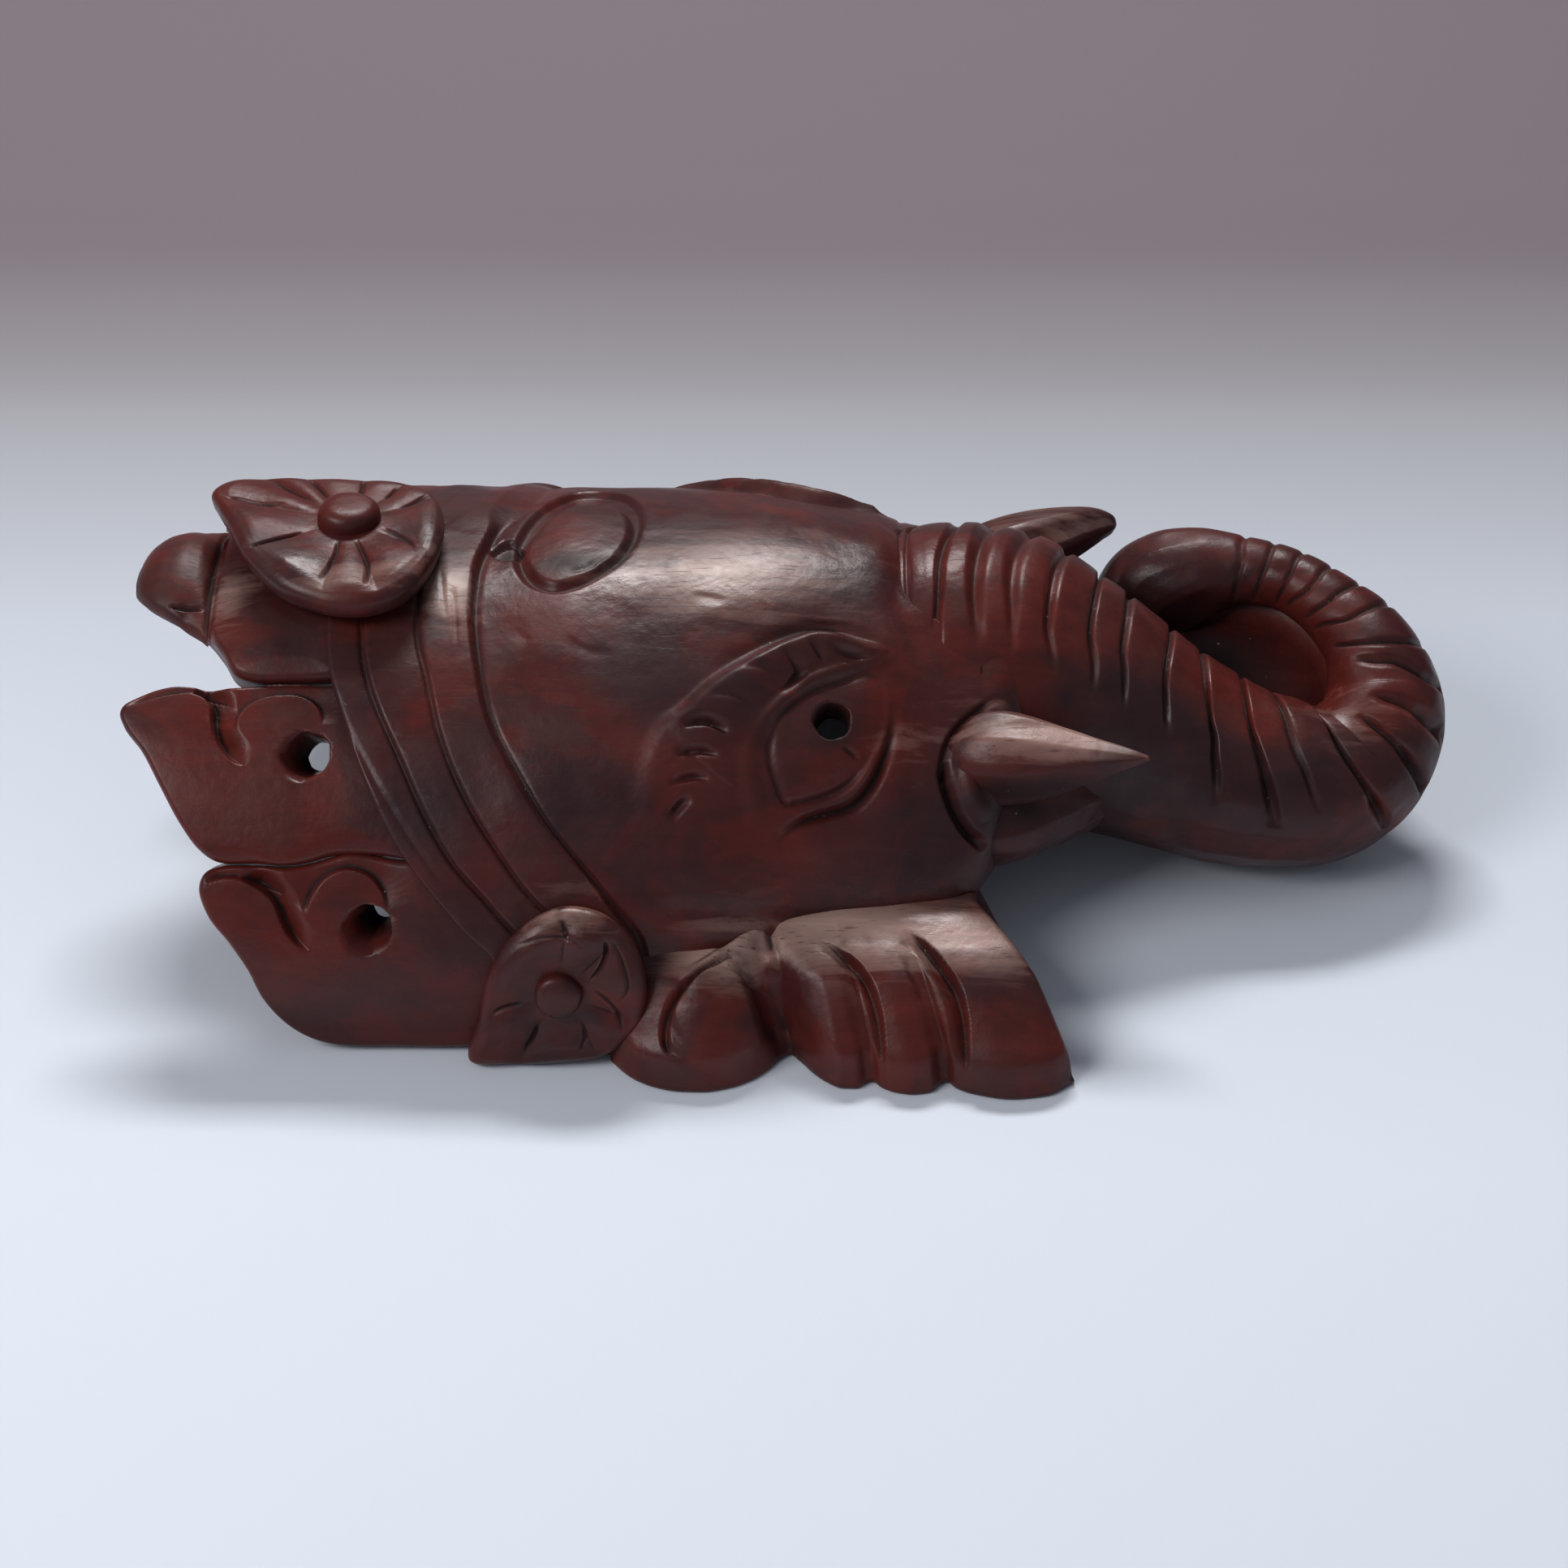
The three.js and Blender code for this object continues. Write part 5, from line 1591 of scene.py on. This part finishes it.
@dataclass
class Tusks(Piece):
    """Both tusks: the near one ends in a sharp point, the far one is blunt and lies a little higher."""

    name: str = "tusks"
    limit: int = 60_000
    near: Rows = (
        (35.5, -34, 44.6, 4.5), (37, -34.8, 45, 7.2), (41, -36.6, 46.2, 9.6), (46, -38.2, 47.2, 10.6),
        (52, -40, 48.2, 10), (58, -41.8, 49.4, 8.2), (64, -43.8, 51, 5.9), (70, -46, 52.8, 3.6),
        (75, -47.9, 54.2, 1.6), (77.6, -48.8, 54.9, 0.5),
    )
    # the far one's line, as if it stood on the near side
    far: Rows = (
        (35.5, -33, 45, 4.5), (37, -33.6, 45.6, 7), (41, -35.2, 47.4, 9), (47, -37, 49.4, 9.6),
        (54, -39, 51.6, 9.2), (61, -41.5, 53.2, 8), (68, -44, 54.4, 6.2), (74, -46.4, 54.6, 4.2),
        (77, -47.6, 54.2, 2.6), (78.2, -48.2, 53.9, 1.0),
    )

    def build(self) -> Object:
        """Both horns as one piece."""
        return make_object(self.name, [Tusk(self.near).faceted(), mirrored(Tusk(self.far).faceted())])


@dataclass
class Lips(Piece):
    """The lower lip behind each tusk, running from the cheek into the trunk and cut with flat facets."""

    name: str = "lips"
    limit: int = 60_000
    line: Rows = (
        (36, -41, 32, 6), (40, -42.5, 31.6, 8.2), (46, -41.6, 31.4, 9), (54, -35.4, 30.6, 9.6),
        (62, -27, 29, 10.4), (70, -17, 27, 11),
    )
    facets: Rows = ((60, 0.9), (95, 0.93), (130, 0.9), (165, 0.93))

    def build(self) -> Object:
        """The near lip and its mirror image."""
        near = Tusk(self.line, facets=self.facets).faceted()
        return make_object(self.name, [near, mirrored(near)])


# Finish


def new_group(name: str, inputs: list[str], outputs: list[str]) -> bpy.types.NodeTree:
    """An empty shader node group whose sockets are all numbers.

    Args:
        name: the group's name.
        inputs: names of the inputs, which are 0 where nothing is linked.
        outputs: names of the outputs.

    Returns:
        The group.
    """
    group = bpy.data.node_groups.new(name, "ShaderNodeTree")
    for direction, labels in (("INPUT", inputs), ("OUTPUT", outputs)):
        for label in labels:
            group.interface.new_socket(label, in_out=direction, socket_type="NodeSocketFloat")
    return group


class Wiring:
    """Short calls for adding and linking the nodes of one tree."""

    def __init__(self, tree: bpy.types.NodeTree) -> None:
        """Remembers the tree."""
        self.tree = tree

    def add(self, kind: str, **settings: object) -> bpy.types.Node:
        """A new node with the given properties.

        Args:
            kind: the node's type.
            settings: names and values of its properties.

        Returns:
            The node.
        """
        node = self.tree.nodes.new(kind)
        for name, value in settings.items():
            setattr(node, name, value)
        return node

    def link(self, source: Socket, target: Socket) -> None:
        """Joins two sockets."""
        self.tree.links.new(source, target)

    def feed(self, socket: Socket, value: object) -> None:
        """Sets a socket to a number or colour, or links it.

        Args:
            socket: the input.
            value: number, colour or output socket.
        """
        if isinstance(value, Socket):
            self.link(value, socket)
        else:
            socket.default_value = value

    def math(self, operation: str, a: object, b: object = 0.0, clamp: bool = False) -> Socket:
        """A Math node's result.

        Args:
            operation: what the node does.
            a: first value.
            b: second value.
            clamp: whether the result is kept between 0 and 1.

        Returns:
            The result's socket.
        """
        node = self.add("ShaderNodeMath", operation=operation, use_clamp=clamp)
        self.feed(node.inputs[0], a)
        self.feed(node.inputs[1], b)
        return node.outputs[0]

    def scaled(
        self, value: object, low: float, high: float, first: float = 0.0, last: float = 1.0,
    ) -> Socket:
        """value moved smoothly from one range to another and held there.

        Args:
            value: what is moved.
            low: start of its range.
            high: end of its range.
            first: what low becomes.
            last: what high becomes.

        Returns:
            The result's socket.
        """
        node = self.add("ShaderNodeMapRange", interpolation_type="SMOOTHSTEP")
        self.feed(node.inputs["Value"], value)
        for name, number in (("From Min", low), ("From Max", high), ("To Min", first), ("To Max", last)):
            node.inputs[name].default_value = number
        return node.outputs[0]

    def blend(self, share: object, a: object, b: object) -> Socket:
        """Colour a changed towards colour b by share.

        Args:
            share: 0 for a, 1 for b.
            a: first colour.
            b: second colour.

        Returns:
            The mixed colour's socket.
        """
        node = self.add("ShaderNodeMix", data_type="RGBA")
        self.feed(node.inputs["Factor"], share)
        self.feed(node.inputs[6], a)
        self.feed(node.inputs[7], b)
        return node.outputs[2]

    def noise(
        self, place: object, scale: float, detail: float = 3.0, rough: float = 0.55, warp: float = 0.0,
    ) -> Socket:
        """Noise value at a place.

        Args:
            place: where it is read.
            scale: waves in a metre, about.
            detail: how many finer layers it has.
            rough: how strong they are.
            warp: how far the place is bent first.

        Returns:
            The value's socket.
        """
        node = self.add("ShaderNodeTexNoise")
        self.feed(node.inputs["Vector"], place)
        numbers = {"Scale": scale, "Detail": detail, "Roughness": rough, "Distortion": warp}
        for name, number in numbers.items():
            node.inputs[name].default_value = number
        return node.outputs["Fac"]

    def mask(self, name: str) -> Socket:
        """A stored value of the mesh."""
        return self.add("ShaderNodeAttribute", attribute_name=name).outputs["Fac"]


def colour(red: int, green: int, blue: int) -> tuple[float, float, float, float]:
    """Linear colour from 8-bit sRGB values.

    Args:
        red, green, blue: each from 0 to 255.

    Returns:
        Red, green, blue and an alpha of 1.
    """
    values = [c / 255 for c in (red, green, blue)]
    linear = [c / 12.92 if c <= 0.04045 else ((c + 0.055) / 1.055) ** 2.4 for c in values]
    return (*linear, 1.0)


def grain_group() -> bpy.types.NodeTree:
    """Fine pores and streaks along X, with slow waves across them.

    Returns:
        The group, with outputs Streaks and Pores.
    """
    group = new_group("wood_grain", [], ["Streaks", "Pores"])
    w = Wiring(group)
    out = w.add("NodeGroupOutput")
    place = w.add("ShaderNodeTexCoord").outputs["Object"]
    wave = w.add("ShaderNodeMapping")
    wave.inputs["Scale"].default_value = (28, 260, 200)
    w.link(place, wave.inputs["Vector"])
    streaks = w.noise(wave.outputs[0], 1.0, 4.0, 0.6, 0.6)
    fine = w.add("ShaderNodeMapping")
    fine.inputs["Scale"].default_value = (160, 1900, 1500)
    w.link(place, fine.inputs["Vector"])
    pores = w.noise(fine.outputs[0], 1.0, 2.0, 0.5)
    w.link(streaks, out.inputs["Streaks"])
    w.link(w.scaled(pores, 0.60, 0.72), out.inputs["Pores"])
    return group


def dust_group() -> bpy.types.NodeTree:
    """Sparse pale specks, thicker where the surface is hollow.

    Returns:
        The group, with input Hollow and output Specks.
    """
    group = new_group("dust_specks", ["Hollow"], ["Specks"])
    w = Wiring(group)
    inn, out = w.add("NodeGroupInput"), w.add("NodeGroupOutput")
    place = w.add("ShaderNodeTexCoord").outputs["Object"]
    cells = w.add("ShaderNodeTexVoronoi")
    cells.inputs["Scale"].default_value = 900
    w.link(place, cells.inputs["Vector"])
    dot = w.scaled(cells.outputs["Distance"], 0.16, 0.30, 1.0, 0.0)
    patch = w.scaled(w.noise(place, 320, 2.0), 0.60, 0.72)
    where = w.scaled(inn.outputs["Hollow"], 0.25, 0.9, 0.0, 1.0)
    specks = w.math("MULTIPLY", w.math("MULTIPLY", dot, patch), where)
    w.link(specks, out.inputs["Specks"])
    return group


class Sheen(Enum):
    """Roughness of each kind of polish."""

    WAXED = 0.37
    MATT = 0.85


@dataclass(frozen=True)
class WaxedWood:
    """Dark red-brown stained wood with wax on it, lightened on its edges as rubbing and painted highlight,
    and dull and darkened with painted shade in its hollows.
    """

    name: str = "waxed_wood"
    ground: tuple = colour(69, 32, 29)
    flush: tuple = colour(90, 32, 26)
    bloom: tuple = colour(48, 28, 31)
    # pale pink-grey for rubbed spots and painted highlight on upward faces
    wear_and_highlight: tuple = colour(182, 150, 138)
    # light brown for sharp edges: rubbed edges and painted highlight
    rim: tuple = colour(122, 76, 66)
    # near black for painted shade in hollows and shade spots, a dark smudge on the tear drop and the grain's
    # dark streaks
    shade_and_smudge_black: tuple = colour(22, 11, 10)
    dust: tuple = colour(190, 170, 160)
    raw: tuple = colour(58, 35, 26)
    sheen: Sheen = Sheen.WAXED
    grain: bpy.types.NodeTree = None
    specks: bpy.types.NodeTree = None

    def make(self) -> bpy.types.Material:
        """The material: stain and bloom in slow patches, then grain, rubbed spots and edges with painted
        highlight, painted shade and dust on top.

        Returns:
            The material.
        """
        material = bpy.data.materials.new(self.name)
        material.use_nodes = True
        tree = material.node_tree
        tree.nodes.clear()
        w = Wiring(tree)
        output = w.add("ShaderNodeOutputMaterial")
        shader = w.add("ShaderNodeBsdfPrincipled")
        w.link(shader.outputs[0], output.inputs["Surface"])
        place = w.add("ShaderNodeTexCoord").outputs["Object"]
        grain = w.add("ShaderNodeGroup", node_tree=self.grain)
        hollow, edge = w.mask("hollow"), w.mask("rim")
        wear_and_highlight_mask, red_mask, raw_mask, dark_stain_and_shade_mask = (w.mask(name) for name in ("wear_and_highlight", "red", "raw", "deep"))

        patch = w.noise(place, 34, 6.0, 0.62, 0.6)
        red = w.scaled(patch, 0.46, 0.53, 0.0, 0.7)
        red = w.math("ADD", red, w.math("MULTIPLY", red_mask, 0.8), clamp=True)
        base = w.blend(red, self.ground, self.flush)
        bloom = w.scaled(w.noise(place, 24, 7.0, 0.64, 0.8), 0.46, 0.57)
        bloom = w.math("MULTIPLY", bloom, w.math("SUBTRACT", 1.0, w.math("MULTIPLY", red_mask, 0.9)))
        blotch = w.scaled(w.noise(place, 70, 5.0, 0.6), 0.40, 0.54, 0.65, 1.2)
        deep = w.math("MULTIPLY", dark_stain_and_shade_mask, blotch)
        bloom = w.math("ADD", w.math("MULTIPLY", bloom, 0.6), deep, clamp=True)
        base = w.blend(w.math("MULTIPLY", bloom, 0.85), base, self.bloom)
        streak = w.scaled(grain.outputs["Streaks"], 0.35, 0.7)
        # the grain's streaks are darkened a little towards the same near black
        base = w.blend(w.math("MULTIPLY", streak, 0.22), base, self.shade_and_smudge_black)

        # rubbed spots and painted highlight, lightened towards pale pink-grey
        rough_wear_and_highlight = w.math("MULTIPLY", wear_and_highlight_mask, w.scaled(w.noise(place, 90, 4.0, 0.6), 0.16, 0.44))
        scores = w.math("SUBTRACT", 1.0, w.math("MULTIPLY", grain.outputs["Pores"], 0.55))
        wear_and_highlight_share = w.math("MULTIPLY", rough_wear_and_highlight, scores)
        wear_and_highlight_share = w.math("SUBTRACT", wear_and_highlight_share, w.math("MULTIPLY", streak, 0.2), clamp=True)
        base = w.blend(wear_and_highlight_share, base, self.wear_and_highlight)
        # rubbed edges and painted highlight: sharp convex edges are lightened
        edge_wear_and_highlight = w.math("MULTIPLY", edge, w.scaled(w.noise(place, 60, 3.0), 0.35, 0.6, 0.3, 0.85))
        base = w.blend(edge_wear_and_highlight, base, self.rim)
        # painted shade: hollows and shade spots are darkened towards near black
        base = w.blend(w.math("MULTIPLY", hollow, 0.85), base, self.shade_and_smudge_black)
        base = w.blend(w.math("MULTIPLY", raw_mask, 0.85), base, self.raw)
        specks = w.add("ShaderNodeGroup", node_tree=self.specks)
        w.link(hollow, specks.inputs["Hollow"])
        base = w.blend(w.math("MULTIPLY", specks.outputs["Specks"], 0.7), base, self.dust)
        w.link(base, shader.inputs["Base Color"])

        smear = w.noise(place, 55, 4.0, 0.6, 0.5)
        rough = w.scaled(smear, 0.3, 0.7, self.sheen.value - 0.09, self.sheen.value + 0.12)
        rough = w.math("SUBTRACT", rough, w.math("MULTIPLY", wear_and_highlight_mask, 0.10))
        rough = w.math("ADD", rough, w.math("MULTIPLY", hollow, 0.3))
        rough = w.math("ADD", rough, w.math("MULTIPLY", raw_mask, 0.25))
        rough = w.math("ADD", rough, w.math("MULTIPLY", grain.outputs["Pores"], 0.10))
        w.link(rough, shader.inputs["Roughness"])
        shader.inputs["Specular IOR Level"].default_value = 0.26

        relief = w.math("MULTIPLY", grain.outputs["Pores"], -0.05)
        relief = w.math("ADD", relief, w.math("MULTIPLY", w.noise(place, 420, 4.0, 0.62), 0.7))
        relief = w.math("ADD", relief, w.math("MULTIPLY", w.noise(place, 150, 2.0, 0.5), 1.6))
        bump = w.add("ShaderNodeBump")
        bump.inputs["Strength"].default_value = 0.4
        bump.inputs["Distance"].default_value = 0.00035
        w.link(relief, bump.inputs["Height"])
        w.link(bump.outputs[0], shader.inputs["Normal"])
        return material


def both_sides(table: Rows) -> Rows:
    """The spots of a table and the same ones on the far side."""
    return [(x, side * y, *rest) for x, y, *rest in table for side in (1, -1)]


# place, size and strength of the polished or rubbed spots, which also paint highlight on the forehead,
# headband, ears and tusks: x, y, z, sx, sy, sz, share
WEAR_AND_HIGHLIGHT_SPOTS: Rows = [
    (-14, -12, 77, 22, 10, 10, 0.7), (-72, -18, 78, 5, 8, 8, 0.8), (60, -42, 56, 20, 9, 5, 0.6),
    (60, 42, 56, 20, 9, 5, 0.4), (-98, -25, 84, 8, 5, 5, 0.3), (-84, -22, 84, 5, 5, 5, 0.3),
    (-46, -78, 36, 9, 6, 6, 0.5), (-120, -16, 74, 6, 7, 8, 0.4), (25, -42, 55, 8, 7, 9, 0.1),
    (126, -8, 38, 14, 12, 12, 0.12),
    *both_sides([(12, -68, 25, 22, 9, 8, 1.0), (42, -70, 24, 14, 8, 8, 0.55), (-14, -75, 21, 9, 5, 7, 1.0)]),
]
# fields that kept their red stain
RED_SPOTS: Rows = [
    (-100, -78, 24, 22, 14, 18, 0.8), (-100, 78, 20, 22, 14, 22, 1.0), (0, -62, 36, 9, 8, 8, 0.8),
    (14, -49, 52, 12, 8, 8, 0.5), (25, -43, 54, 8, 10, 12, 0.9), (-8, -50, 52, 6, 10, 10, 0.5),
    (10, -88, 11, 10, 7, 8, 0.9), (28, -89, 10, 9, 7, 8, 0.9), (52, -89, 11, 12, 8, 8, 0.9),
    (-21, -86, 14, 9, 8, 8, 0.3), (58, -14, 72, 12, 14, 8, 0.9), (44, -22, 66, 8, 8, 8, 0.7),
    (76, -14, 62, 10, 10, 7, 0.9), (94, -16, 52, 12, 9, 6, 0.9), (110, -18, 45, 12, 9, 5, 0.9),
    (113, -33, 22, 18, 10, 8, 0.6), (-77, -48, 63, 9, 8, 8, 0.6), (-57, -68, 42, 8, 8, 10, 0.6),
    (-49, 8, 79, 7, 6, 6, 1.0), (118, 18, 30, 10, 18, 20, 0.9), (30, -6, 74, 8, 14, 10, 0.4),
    (-34, -48, 62, 8, 8, 8, 0.5),
    *both_sides([(-118, -58, 52, 22, 22, 22, 1.0), (-22, -58, 56, 8, 8, 9, 1.0)]),
]
# fields where the stain went dark and purple, and painted shade under the near tusk
DARK_STAIN_AND_SHADE_SPOTS: Rows = [
    (-42, -58, 53, 12, 12, 10, 1.0), (-31, -37, 70, 15, 10, 10, 1.0), (14, -11, 77, 16, 8, 8, 0.9),
    (-26, -70, 42, 12, 9, 12, 0.6), (81, -27, 50, 10, 12, 10, 0.9), (98, -30, 34, 16, 14, 8, 0.6),
    (70, -26, 56, 10, 9, 7, 0.9), (50, -48, 41, 14, 5, 4, 0.9), (30, -56, 36, 8, 10, 10, 0.9),
    (-79, -62, 52, 10, 9, 10, 0.7), (-91, -45, 67, 9, 9, 8, 0.6), (-104, -31, 71, 10, 8, 8, 0.6),
    (90, 31, 50, 12, 9, 10, 0.8), (-86, -86, 12, 24, 8, 10, 1.0), (-6, -37, 71, 7, 4, 7, 0.8),
    (-44, -9, 78.5, 9, 4.5, 5, 1.0), (52, -50, 44, 18, 6, 4, 1.0), (96, 10, 30, 12, 12, 16, 0.7),
]
# near-black painted shade: the curl's left, the tear drop's diamond, the pupils' walls, the ears' slits
# and the tusks' roots; also a dark smudge on the tear drop
SHADE_AND_SMUDGE_SPOTS: Rows = [
    (103, 22, 32, 15, 14, 7, 1.0), (-60.9, -1.4, 79.2, 2.6, 2.8, 5, 1.8), (-47, -9, 78.5, 8, 3.5, 4, 0.8),
    (-38, -7, 79, 4, 4, 4, 0.35),
    *both_sides([
        (10.4, -41.5, 58, 5, 6, 6, 1.3), (-46, -85.5, 22.5, 3.4, 3, 2.2, 0.6),
        (54, -45, 37, 16, 6, 3.5, 0.9), (48, -48, 45.5, 11, 4.5, 4, 0.6), (61, -49.5, 47.5, 9, 4, 2.6, 0.55),
    ]),
]


def spots(place: Array, table: Rows) -> Array:
    """Sum of soft blobs, each a bell over the distance scaled by its three sizes.

    Args:
        place: the vertices.
        table: middle, sizes and strength of each blob.

    Returns:
        The sum at each vertex, kept between 0 and 1.
    """
    total = np.zeros(len(place))
    for x, y, z, sx, sy, sz, share in table:
        away = (((place - (x, y, z)) / (sx, sy, sz)) ** 2).sum(axis=1)
        total += share * np.exp(-away)
    return np.clip(total, 0, 1)


# Studio


@dataclass(frozen=True)
class Paper:
    """Matt paper, pale in front and darker towards the wall."""

    name: str = "paper"
    sheen: Sheen = Sheen.MATT
    # distance behind the mask in metres and the paper's colour there, from the front edge to the wall
    stops: tuple = (
        (-0.12, colour(220, 228, 238)), (0.09, colour(192, 199, 209)), (0.20, colour(154, 155, 160)),
        (0.28, colour(123, 117, 123)), (0.36, colour(117, 108, 114)),
    )

    def make(self) -> bpy.types.Material:
        """The material: a smooth run of colour along Y.

        Returns:
            The material.
        """
        material = bpy.data.materials.new(self.name)
        material.use_nodes = True
        w = Wiring(material.node_tree)
        shader = material.node_tree.nodes["Principled BSDF"]
        where = w.add("ShaderNodeSeparateXYZ")
        w.link(w.add("ShaderNodeTexCoord").outputs["Object"], where.inputs[0])
        ramp = w.add("ShaderNodeValToRGB")
        ramp.color_ramp.elements.remove(ramp.color_ramp.elements[1])
        ramp.color_ramp.interpolation = "CARDINAL"
        first, last = self.stops[0][0], self.stops[-1][0]
        for k, (y, tint) in enumerate(self.stops):
            share = (y - first) / (last - first)
            stop = ramp.color_ramp.elements[0] if k == 0 else ramp.color_ramp.elements.new(share)
            stop.position, stop.color = share, tint
        along = w.add("ShaderNodeMapRange")
        w.link(where.outputs["Y"], along.inputs["Value"])
        along.inputs["From Min"].default_value, along.inputs["From Max"].default_value = first, last
        w.link(along.outputs[0], ramp.inputs[0])
        w.link(ramp.outputs[0], shader.inputs["Base Color"])
        shader.inputs["Roughness"].default_value = self.sheen.value
        shader.inputs["Specular IOR Level"].default_value = 0.15
        return material


@dataclass(frozen=True)
class Studio:
    """Pale table, grey-mauve backdrop, a large soft light behind the mask and a soft fill."""

    elevation: float = 36.0
    camera: Spot = (-0.0039, -0.6088, 0.45505)
    lens: float = 74.35
    # the sheet's bend: radius, where it starts behind the mask, and how high and wide the sheet is
    bend: float = 0.35
    bend_start: float = 0.62
    near_edge: float = -2.5
    high: float = 1.6
    half_width: float = 3.0

    def place_camera(self) -> None:
        """Camera at the photograph's angle, level and unshifted."""
        data = bpy.data.cameras.new("camera")
        data.lens = self.lens
        data.sensor_width = 36.0
        data.clip_start = 0.01
        camera = bpy.data.objects.new("camera", data)
        camera.location = self.camera
        camera.rotation_euler = (math.radians(90.0 - self.elevation), 0.0, 0.0)
        bpy.context.scene.collection.objects.link(camera)
        bpy.context.scene.camera = camera

    def place_backdrop(self) -> None:
        """One sheet that runs from the table up into the wall through a wide bend."""
        a = np.linspace(0, np.pi / 2, 40)
        wall = self.bend_start + self.bend
        y = np.concatenate([[self.near_edge], self.bend_start + self.bend * np.sin(a), [wall]])
        z = np.concatenate([[0.0], self.bend * (1 - np.cos(a)), [self.high]])
        x, y = np.meshgrid([-self.half_width, self.half_width], y)
        verts = np.stack([x, y, np.broadcast_to(z[:, None], x.shape)], -1).reshape(-1, 3)
        k = np.arange(len(z) - 1) * 2
        faces = np.stack([k, k + 1, k + 3, k + 2], -1)
        mesh = bpy.data.meshes.new("backdrop")
        mesh.from_pydata(verts.tolist(), [], faces.tolist())
        mesh.shade_smooth()
        mesh.materials.append(Paper().make())
        sheet = bpy.data.objects.new("backdrop", mesh)
        bpy.context.scene.collection.objects.link(sheet)

    def place_lights(self) -> None:
        """Soft boxes and an even pale surround, shown with the plain tone curve of a snapshot."""
        bpy.context.scene.view_settings.view_transform = "Standard"
        self.soft_box("key", (-0.05, 0.96, 1.2), (0.0, 0.0, 0.03), (0.62, 0.4), 35.0, (1.0, 0.98, 0.97))
        self.soft_box("fill", (-1.05, -0.7, 1.1), (0.0, 0.0, 0.03), (0.8, 0.6), 12.0, (1.0, 0.97, 0.96))
        world = bpy.data.worlds.new("surround")
        world.use_nodes = True
        background = world.node_tree.nodes["Background"]
        background.inputs["Color"].default_value = (0.86, 0.89, 1.0, 1.0)
        background.inputs["Strength"].default_value = 0.26
        bpy.context.scene.world = world

    @staticmethod
    def soft_box(name: str, place: tuple, target: tuple, size: tuple, power: float, tint: tuple) -> None:
        """An area light at place that faces target.

        Args:
            name: the light's name.
            place: where it hangs.
            target: where it faces.
            size: its two sides in metres.
            power: watts.
            tint: its colour.
        """
        data = bpy.data.lights.new(name, "AREA")
        data.shape = "RECTANGLE"
        data.size, data.size_y = size
        data.energy = power
        data.color = tint
        lamp = bpy.data.objects.new(name, data)
        lamp.location = place
        aim = unit(np.array(target) - np.array(place))
        lamp.rotation_euler = (math.acos(-aim[2]), 0.0, math.atan2(aim[1], aim[0]) - math.pi / 2)
        bpy.context.scene.collection.objects.link(lamp)


def main() -> None:
    """Builds the studio and the mask."""
    logging.basicConfig(level=logging.INFO, format="%(name)s %(message)s")
    studio = Studio()
    studio.place_camera()
    studio.place_backdrop()
    studio.place_lights()
    wood = WaxedWood(grain=grain_group(), specks=dust_group()).make()
    for part in (Head(), Crown(), CentreRosette(), SideRosettes(), Ears(), Trunk(), Tusks(), Lips()):
        part.dress(part.build(), wood)


if __name__ == "__main__":
    main()
